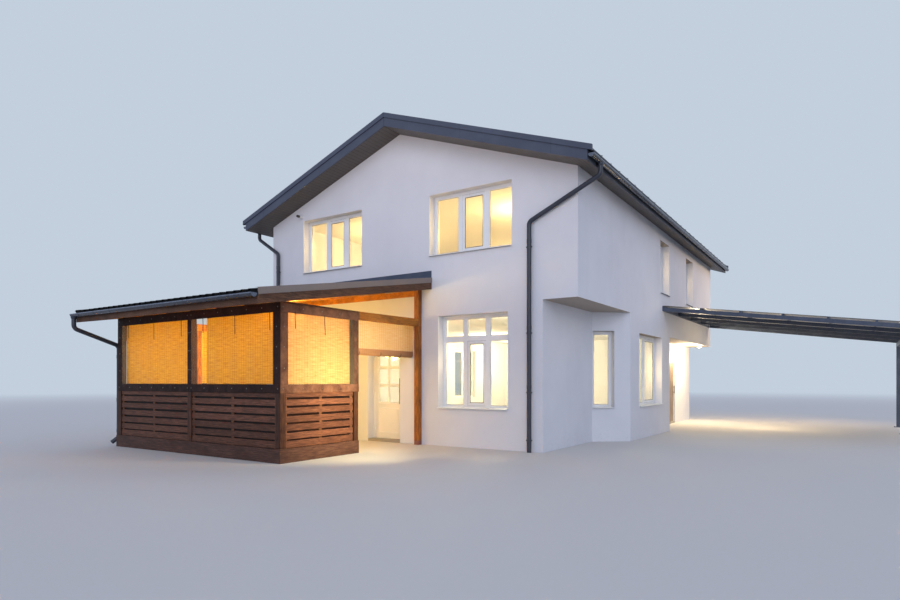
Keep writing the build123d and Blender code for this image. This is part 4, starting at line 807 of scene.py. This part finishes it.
# Woven polyester coated with PVC: dull, unevenly dark and softly rumpled. The right window's is painted
# lighter: painted lamplight, for the warm light that falls on it.
tarpaulin, tree, shader, place = material("coated_brown_tarpaulin", "#2C1914", Roughness=0.6,
                                          Specular_IOR_Level=0.2)
cloud = node(tree, "MapRange", node(tree, "TexNoise", place, Scale=5.0, Detail=4.0, Roughness=0.6), 0.35, 0.7)
weave = node(tree, "Math", node(tree, "TexNoise", place, Scale=300.0, Detail=2.0), 0.1,
             node(tree, "TexNoise", place, Scale=9.0, Detail=3.0), operation="MULTIPLY_ADD")
node(tree, shader, Base_Color=node(tree, "MixRGB", cloud, "#24130F", "#38221C"),
     Normal=node(tree, "Bump", Height=weave, Distance=0.016, Strength=0.8))
# Painted lamplight: a lighter brown tarpaulin for the right window's border.
tarpaulin_painted_lamplight, tree, shader, place = material("brown_tarpaulin_painted_lamplight", "#5C3D2E", Roughness=0.6,
                                                Specular_IOR_Level=0.25)
cloud = node(tree, "TexNoise", place, Scale=4.0, Detail=5.0, Roughness=0.65)
cloud = node(tree, "MapRange", cloud, 0.35, 0.7)
node(tree, shader, Base_Color=node(tree, "MixRGB", cloud, "#4A2E23", "#765342"),
     Normal=node(tree, "Bump", Height=node(tree, "TexNoise", place, Scale=11.0, Detail=4.0), Distance=0.02,
                 Strength=0.9))
eyelet_steel = satin_steel("pressed_steel_eyelet", "#8A857E", 0.4)
# Polyester webbing, matt and dark: its threads, 1 mm apart, are drawn as faint bands 5 mm apart.
strap_webbing, tree, shader, place = material("woven_dark_webbing", "#2E2422", Roughness=0.85)
weave = node(tree, "TexWave", place, Scale=60.0, bands_direction="Z")
node(tree, shader, Base_Color=node(tree, "MixRGB", weave, "#261E1C", "#3A302D"),
     Normal=node(tree, "Bump", Height=weave, Distance=0.001))


def hung_surface(origin, ahead, out, length, low, high, across, upwards, stand=0.0, creased=0.0, foot=0.0):
    """A sheet in the upright plane through origin, as a grid of points, in millimetres.

    Point (u, z) lies u ahead of the origin at height z. It stands out by 3 mm times the squared sine of a
    half turn every 375 mm, which is the billow between eyelets, and by two sine creases: one that grows to
    the far end, and one, of the foot's depth, that grows to the lower edge and to the far end.
    """
    u, z = np.meshgrid(np.linspace(*across), np.linspace(*upwards))
    edge = np.exp(-np.minimum(z - low, high - z) / 180)
    billow = 3 * np.sin(np.pi * u / 375) ** 2 * edge + 2 * np.sin(np.pi * (z - low) / (high - low))
    near_end = np.exp(-(length - u) / 260)
    fold = creased * near_end * np.sin(u / 24 + z / 60) * np.exp(-(z - low) / 120)
    gather = foot * (1 + np.sin(u / 17 - z / 34)) * np.exp(-(z - low) / 90) * np.exp(-(length - u) / 420)
    depth = stand + billow + fold + abs(creased) * near_end + gather
    points = origin + u[..., None] * ahead + z[..., None] * np.array([0, 0, 1.0]) + depth[..., None] * out
    rows, columns = u.shape
    index = np.arange(rows * columns).reshape(rows, columns)
    faces = np.stack([index[:-1, :-1], index[:-1, 1:], index[1:, 1:], index[1:, :-1]], -1).reshape(-1, 4)
    if np.dot(np.cross(ahead, (0, 0, 1)), out) < 0:
        faces = faces[:, ::-1]
    return points.reshape(-1, 3), faces.tolist(), np.stack([u, z], -1).reshape(-1, 2)


# name, start in plan, direction, outward, length, border at the start, border at the end, creases, gathers
SOFT_WINDOWS = [
    ("front_left", (-4700, -10290.3), (1, 0), (0, -1), 2599, 170, 55, 0, 0),
    ("front_right", (-2099, -10290.3), (1, 0), (0, -1), 2599, 55, 180, 0, 0),
    ("right", (500.3, -10290), (0, 1), (1, 0), 1970, 170, 118, 9, 9),
    ("left_front", (-4700.3, -8381), (0, -1), (-1, 0), 1909, 120, 170, 0, 0),
    ("left_back", (-4700.3, -6351), (0, -1), (-1, 0), 2028, 170, 120, 0, 0),
]
LOW, HIGH = 1210, 2770
FILM_LOW, FILM_HIGH = 1360, 2610
eyelets, straps = [], []
for name, start, ahead, out, length, first, last, crease, foot in SOFT_WINDOWS:
    origin, ahead, out = np.array((*start, 0.0)), np.array((*ahead, 0.0)), np.array((*out, 0.0))
    film = hung_surface(origin, ahead, out, length, LOW, HIGH, (2, length - 2, 90), (LOW + 2, HIGH - 2, 40),
                        0.0, crease, foot)
    film = piece(f"soft_window_{name}", [film], soft_film, instead_of=["terrace_soft_windows"],
                 smooth=True)
    lengthwise, upright = (0, length, int(length / 8)), (FILM_LOW, FILM_HIGH, 60)
    strips = [hung_surface(origin, ahead, out, length, LOW, HIGH, across, upwards, 1.5, crease, foot)
              for across, upwards in ((lengthwise, (LOW, FILM_LOW, 12)), (lengthwise, (FILM_HIGH, HIGH, 12)),
                                      ((0, first, 10), upright), ((length - last, length, 10), upright))]
    border = piece(f"soft_border_{name}", strips, tarpaulin_painted_lamplight if name == "right" else tarpaulin,
                   smooth=True)
    welt = border.modifiers.new("thickness", "SOLIDIFY")
    welt.thickness, welt.offset = 0.0012, 1.0
    spots = [(u, z) for z in (1285, 2700) for u in np.linspace(60, length - 60, max(2, round(length / 375)))]
    spots += [(u, z) for z in (1640, 2010, 2360) for u in (first / 2, length - last / 2)]
    for u, z in spots:
        disc, faces, uv = turned([(6, 0), (13, 0), (13, 1.5), (10, 2.6), (6, 1.5)], (0, 0, 0), 10)
        middle = origin + u * ahead + (0, 0, z) + 4.4 * out
        disc = middle + disc[:, :1] * ahead + disc[:, 1:2] * np.array([0, 0, 1]) + disc[:, 2:] * out
        flip = np.dot(np.cross(ahead, (0, 0, 1)), out) < 0
        eyelets.append((disc, [face[::-1] for face in faces] if flip else faces, uv))
    for u, drop in zip(np.linspace(0.17, 0.9, 3) * length, (300, 370, 340)):
        z = np.linspace(2640, 2640 - drop, 9)
        sway = 5 + 2 * np.sin(z / 70)
        route = origin + (u + 5 * np.sin(z / 110))[:, None] * ahead + z[:, None] * np.array([0, 0, 1]) \
            + sway[:, None] * out
        straps.append(carried(rectangle(18, 1.5), route, up=out))
    if name == "right":
        z = np.arange(2600.0, 1330.0, -72.0)
        swing = np.where(np.arange(len(z)) % 2, 16, 96)
        route = origin + (length - swing)[:, None] * ahead + z[:, None] * np.array([0, 0, 1]) + 20 * out
        straps.append(carried(rectangle(14, 3), route, up=out))
piece("soft_window_eyelets", eyelets, eyelet_steel, smooth=True)
piece("soft_window_straps", straps, strap_webbing)

# Reed blinds: split river reed about 5 mm thick, bound side by side with thread every 65 mm, and hung
# behind the film. Lamplight from inside comes through the straw and makes it glow amber.
def split_reed(name, lit, shade, glow_share=0.6, rolled_below=None):
    """Dry reed: streaks of straw colours along each stalk, crossed by thin binding threads, with fine streaks
    painted darker as painted shade where stalks lie close. Part of the light passes through, but hardly any
    where the blind is rolled up, below a height in metres; there the colour is painted a darker brown too,
    as painted shade in the roll. Streaks are drawn at twice their real width."""
    made, tree, shader, place = material(name, lit, Roughness=0.7, Specular_IOR_Level=0.2)
    grain = node(tree, "UVMap", uv_map="grain")
    stalks = node(tree, "TexNoise", node(tree, "Mapping", grain, Scale=(4.5, 80, 1)), Scale=1.0, Detail=2.0,
                  Roughness=0.65)
    fine = node(tree, "TexNoise", node(tree, "Mapping", grain, Scale=(9, 150, 1)), Scale=1.0, Detail=2.0)
    tone = node(tree, "MixRGB", node(tree, "MapRange", stalks, 0.34, 0.62), shade, lit)
    # Painted shade: fine streaks darkened where stalks lie close.
    tone = node(tree, "MixRGB", node(tree, "MapRange", fine, 0.48, 0.75, 0.0, 0.5), tone, shade)
    thread = node(tree, "Math", node(tree, "SeparateXYZ", grain), 0.0325, operation="PINGPONG")
    tone = node(tree, "MixRGB", node(tree, "MapRange", thread, 0.0, 0.006, 0.5, 0.0), tone, "#8A5A20")
    if rolled_below:
        thick = node(tree, "MapRange", node(tree, "SeparateXYZ", place).outputs["Z"], rolled_below - 0.01,
                     rolled_below, 1.0, 0.0)
        # Painted shade: the rolled part is darkened to brown.
        tone = node(tree, "MixRGB", node(tree, "Math", thick, 0.8, operation="MULTIPLY"), tone, "#B4702E")
        glow_share = node(tree, "MapRange", thick, 0.0, 1.0, glow_share, 0.25)
    height = node(tree, "Math", stalks, fine, operation="ADD")
    node(tree, shader, Base_Color=tone,
         Normal=node(tree, "Bump", Height=height, Distance=0.004, Strength=0.8))
    node(tree, tree.nodes["Material Output"],
         node(tree, "MixShader", glow_share, shader, node(tree, "BsdfTranslucent", tone)))
    return made


amber_reed = split_reed("split_reed_amber", "#F8E04C", "#DCB238")
pale_reed = split_reed("split_reed_pale", "#F2DAAC", "#D6AE7C")
BLINDS = [
    ("front_left", (-4450, -10190), (1, 0), (0, -1), 2280, amber_reed),
    ("front_right", (-1690, -10190), (1, 0), (0, -1), 2060, amber_reed),
    ("right_first", (400, -10150), (0, 1), (1, 0), 600, pale_reed),
    ("right_second", (397, -9560), (0, 1), (1, 0), 1105, pale_reed),
    ("left_front", (-4600, -8460), (0, -1), (-1, 0), 1690, amber_reed),
    ("left_back", (-4600, -6490), (0, -1), (-1, 0), 1810, amber_reed),
]
BLIND_LOW, BLIND_HIGH = 1362, 2638
for name, start, ahead, out, length, reed in BLINDS:
    origin, ahead, out = np.array((*start, 0.0)), np.array((*ahead, 0.0)), np.array((*out, 0.0))
    blind = piece(f"reed_blind_{name}", [hung_surface(
        origin, ahead, out, length, BLIND_LOW, BLIND_HIGH, (0, length, 40), (BLIND_LOW, BLIND_HIGH, 60))],
        reed, instead_of=["terrace_reed_blinds"], smooth=True)
    stalk = blind.modifiers.new("stalk_thickness", "SOLIDIFY")
    stalk.thickness, stalk.offset = 0.005, -1.0

# Entrance blind: the same reed, half let down, its lower part rolled up and tied.
# The sheet runs on into the roll, which winds inwards by 10 mm a turn.
ROLL_X, ROLL_Z, ROLL_RADIUS = 319.7, 2000, 55
drop = np.linspace(2760, ROLL_Z, 20)
wind = np.linspace(0, 8 * math.pi, 120)
reach = ROLL_RADIUS - 10 * wind / (2 * math.pi)
middle_line = np.vstack([np.stack([np.full(20, ROLL_X + ROLL_RADIUS), drop], -1)[:-1],
                         np.stack([ROLL_X + reach * np.cos(wind), ROLL_Z - reach * np.sin(wind)], -1)])
along = np.gradient(middle_line, axis=0)
along /= np.linalg.norm(along, axis=1, keepdims=True)
across = np.stack([-along[:, 1], along[:, 0]], -1) * 3.5
outline = np.vstack([middle_line + across, (middle_line - across)[::-1]])
half_lit_reed = split_reed("split_reed_half_rolled", "#FAEFDC", "#EED8AC", 0.75, rolled_below=2.085)
rolled = piece("entrance_reed_blind", [carried(outline, [(0, -8498, 0), (0, -6362, 0)])], half_lit_reed,
               instead_of=["entrance_blind"], smooth=True)
ties = []
turn = np.linspace(0, 2 * math.pi, 25)
for y in (-8150.0, -7480.0, -6800.0):
    loop = np.stack([ROLL_X + 62 * np.cos(turn), np.full(25, y), ROLL_Z - 62 * np.sin(turn)], -1)
    ties.append(carried(rectangle(12, 2), loop, up=(0, 1, 0)))
piece("entrance_blind_ties", ties, strap_webbing)


# Terrace roof: black profiled steel sheet on planed boards, which show from below between the rafters.
# The ribs are 20 mm high, 183 mm apart, and reach over the gutter; the sheet's front edge is left open.
def terrace_top(y):
    """Height of the terrace roof's upper face."""
    return 2890 + (y + 11080) * 0.171247


def ribbed(start, end, across, pitch, low, high, edge):
    """A profiled sheet 1 mm thick. Across it, trapezoid ribs rise from low to high every pitch, with a foot
    of 67 % of the pitch. The outline is carried along the fall, from start to end."""
    ribs = np.arange(edge, across - pitch * 0.6, pitch)
    shape = np.array([(0, 0), (0.20, 0), (0.32, 1), (0.55, 1), (0.67, 0)])
    line = np.vstack([(0, low)] + [np.stack([rib + shape[:, 0] * pitch, low + shape[:, 1] * (high - low)], -1)
                                   for rib in ribs] + [(across, low)])
    return carried(np.vstack([line, line[::-1] - (0, 1.2)])[::-1], [start, end])


# Matt polyester paint, nearly black, which shows its ribs only by thin highlights.
black_sheet = painted_steel("black_profiled_steel", "#121316", 0.6, dust="#26282C")
black_sheet.node_tree.nodes["Principled BSDF"].inputs["Specular IOR Level"].default_value = 0.2
fall_line = [(-4838, y, terrace_top(y)) for y in (-11138, -6352)]
top_sheet = ribbed(*fall_line, 5726, 183, -22, -1, 20)
piece("terrace_roof_sheet", [top_sheet], black_sheet, instead_of=["terrace_roof"])
roof_boards = []
for low in np.arange(-11050, -6480, 146):
    high = min(low + 142, -6352)
    y = (low + high) / 2
    z = terrace_top(y) - 44
    roof_boards.append(carried(rectangle(high - low, 20), [(-4810, y, z), (860, y, z)],
                               up=(0, -0.1688, 0.9856)))
piece("terrace_roof_boards", roof_boards, stained("oiled_spruce_roof_boards", "#F2C062", "#C28A38"),
      eased=2.0)

# Flashings: folded sheet with hemmed edges. The verges are a warm light grey, each in one length, the apron
# against the house is slate grey, and a black drip strip hangs into the gutter.
VERGE = [(12, -103), (12, 10), (-56, 10), (-56, 8), (9.5, 8), (9.5, -92), (7, -92), (7, -103)]
verges = [carried(VERGE, [(890, -11092, terrace_top(-11092)), (890, -6352, terrace_top(-6352))]),
          carried(VERGE, [(-4840, -6352, terrace_top(-6352)), (-4840, -11092, terrace_top(-11092))])]
warm_sheet = painted_steel("warm_grey_folded_verge", "#84766E", 0.5, dust="#8E857D")
piece("terrace_verges", verges, warm_sheet, instead_of=["terrace_flashings"])
APRON = [(0, 0), (-2, 0), (-2, -110), (-10, -150), (-10, -162), (-7, -162), (-7, -150), (0, -112)]
apron = carried([(-x, z) for x, z in APRON][::-1], [(-4298, -6350, 3862), (888, -6350, 3862)])
piece("terrace_apron", [apron], painted_steel("slate_folded_apron", "#3C4558", 0.4))
drip = carried([(0, 0), (0, -97), (10, -106), (12, -104), (3, -96), (3, 0)],
               [(-4838, -11090, 2864), (888, -11090, 2864)])
piece("terrace_drip", [drip], black_sheet)

# Canopy: welded steel tube in dark grey enamel, with a trapezoid sheet on seven purlins.
# Brush marks and specks of dust show in the enamel; the posts stand on bolted plates.
enamel, tree, shader, place = material("brushed_enamel_on_steel", "#484E5A", Roughness=0.4,
                                       Specular_IOR_Level=0.5)
worn = node(tree, "TexNoise", place, Scale=4.0, Detail=5.0, Roughness=0.65)
strokes = node(tree, "TexNoise", node(tree, "Mapping", place, Scale=(1, 1, 0.2)), Scale=90.0, Detail=3.0)
matt = node(tree, "MapRange", node(tree, "TexNoise", place, Scale=12.0, Detail=3.0), 0.3, 0.7, 0.33, 0.55)
node(tree, shader, Base_Color=node(tree, "MixRGB", node(tree, "MapRange", worn, 0.45, 0.75, 0.0, 0.6),
                                   "#3E4758", "#566074"),
     Roughness=matt, Normal=node(tree, "Bump", Height=strokes, Distance=0.0006, Strength=0.6))
dress(["canopy_purlins", "canopy_rafters", "canopy_beams", "canopy_posts"], enamel)


def canopy_top(x):
    """Height of the canopy's upper face."""
    return 3500 - 0.135 * (x - 4300)


# The sheet is graphite above and round its front edge, and pale below, where it shows between the purlins:
# partly its primer, and partly painted light for the lamplight that falls on it from below.
sheet_primer_and_painted_light, tree, shader, place = material("graphite_primer_and_painted_light_below", "#4A4E57",
                                             Roughness=0.42)
upward = node(tree, "SeparateXYZ", node(tree, "TexCoord").outputs["Normal"]).outputs["Z"]
below = node(tree, "Math", upward, -0.2, operation="LESS_THAN")
inward = node(tree, "Math", node(tree, "SeparateXYZ", place).outputs["Y"], -0.12, operation="GREATER_THAN")
below = node(tree, "Math", below, inward, operation="MULTIPLY")
cloud = node(tree, "TexNoise", place, Scale=2.0, Detail=5.0, Roughness=0.6)
above_tone = node(tree, "MixRGB", cloud, "#43474F", "#5A5F69")
# Painted light: the underside's pale tone also stands for the lamplight on it.
below_tone = node(tree, "MixRGB", cloud, "#A9A9A8", "#C4C3C0")
node(tree, shader, Base_Color=node(tree, "MixRGB", below, above_tone, below_tone),
     Normal=node(tree, "Bump", Height=node(tree, "TexNoise", place, Scale=3.0, Detail=2.0), Distance=0.006,
                 Strength=0.5))
CANOPY_FRONT, CANOPY_BACK = -250, 6050
canopy_sheet = ribbed((4302, CANOPY_BACK - 2, canopy_top(4302)), (10098, CANOPY_BACK - 2, canopy_top(10098)),
                      CANOPY_BACK - CANOPY_FRONT - 4, 200, -22, -1, 16)
piece("canopy_sheet", [canopy_sheet], sheet_primer_and_painted_light, instead_of=["canopy_roof"])
bolts = []
for y in (-140, 2900, 5940):
    for x_side in (-1, 1):
        for y_side in (-1, 1):
            bolts.append(turned([(15, 12), (15, 15), (9, 15), (9, 24), (5, 26)],
                                (9800 + 85 * x_side, y + 85 * y_side, 0), 6))
piece("canopy_post_bolts", bolts, satin_steel("zinc_plated_bolt", "#A8A8A6", 0.4))

# Outdoor lamps: a round opal cover in a steel ring, under the porch soffit and inside the front right
# corner of the terrace. The opal glass glows evenly.
opal, tree, shader, place = material("lit_opal_glass", "#FFF1D8", Roughness=0.3, Emission_Strength=6.0)
core = node(tree, "MixRGB", node(tree, "TexNoise", place, Scale=20.0), "#FFE9C0", "#FFF2D8")
node(tree, shader, Base_Color=core, Emission_Color=core)
bulge = np.linspace(0, math.pi / 2, 7)
DOME = np.stack([66 * np.cos(bulge), 22 + 36 * np.sin(bulge)], -1)[:-1]
COVER = np.vstack([(66, 18), DOME, (8, 58)])
RING = [(75, 0), (75, 16), (72, 22), (66, 24), (60, 18), (60, 0)]


def fitted(part, place, axis):
    """Stand a turned part on a face: its own upright axis becomes the given one, from the given place."""
    points, faces, uv = part
    axis = np.array(axis, float)
    side = np.cross((0, 1, 0) if abs(axis[1]) < 0.5 else (0, 0, 1), axis)
    turn = np.stack([side, np.cross(axis, side), axis])
    return points @ turn + place, faces, uv


lamp_places = [((4050, 5700, 2660), (0, 0, -1)), ((380, -9835, 2670), (-1, 0, 0))]
piece("lamp_covers", [fitted(turned(COVER, (0, 0, 0)), *at) for at in lamp_places], opal,
      instead_of=["outdoor_lamps"], smooth=True)
piece("lamp_rings", [fitted(turned(RING, (0, 0, 0)), *at) for at in lamp_places],
      satin_steel("brushed_lamp_ring", "#8C8A86"), smooth=True)

# Wall camera: a small white bullet of moulded plastic on a white mount, with a dark hood in front.
# The ABS is semi-matt and even, with hardly any cloud in it.
mount_plastic, tree, shader, place = material("moulded_white_abs", "#DADAD8", Roughness=0.45)
cloud = node(tree, "TexNoise", place, Scale=12.0)
node(tree, shader, Base_Color=node(tree, "MixRGB", cloud, "#D2D2D0", "#E0E0DE"))
body_plastic, tree, shader, place = material("moulded_abs_with_dark_hood", "#2C2D30", Roughness=0.4)
cloud = node(tree, "TexNoise", place, Scale=14.0)
behind = node(tree, "Math", node(tree, "SeparateXYZ", place).outputs["Y"], -6.455, operation="GREATER_THAN")
node(tree, shader, Base_Color=node(tree, "MixRGB", behind, node(tree, "MixRGB", cloud, "#1E1F22", "#2E2F32"),
                                   node(tree, "MixRGB", cloud, "#D2D2D0", "#E0E0DE")))
MOUNT = [(45, 0), (45, 20), (40, 34), (22, 45), (14, 45)]
BULLET = [(14, 40), (24, 44), (31, 56), (32, 74), (32, 168), (30, 175), (26, 175), (26, 168), (12, 166)]
CAMERA_FOOT = (-3200, -6350, 5640)
piece("camera_mount", [fitted(turned(MOUNT, (0, 0, 0)), CAMERA_FOOT, (0, -1, 0))], mount_plastic,
      instead_of=["wall_camera"], smooth=True)
piece("camera_body", [fitted(turned(BULLET, (0, 0, 0)), CAMERA_FOOT, (0, -1, 0))], body_plastic,
      smooth=True)
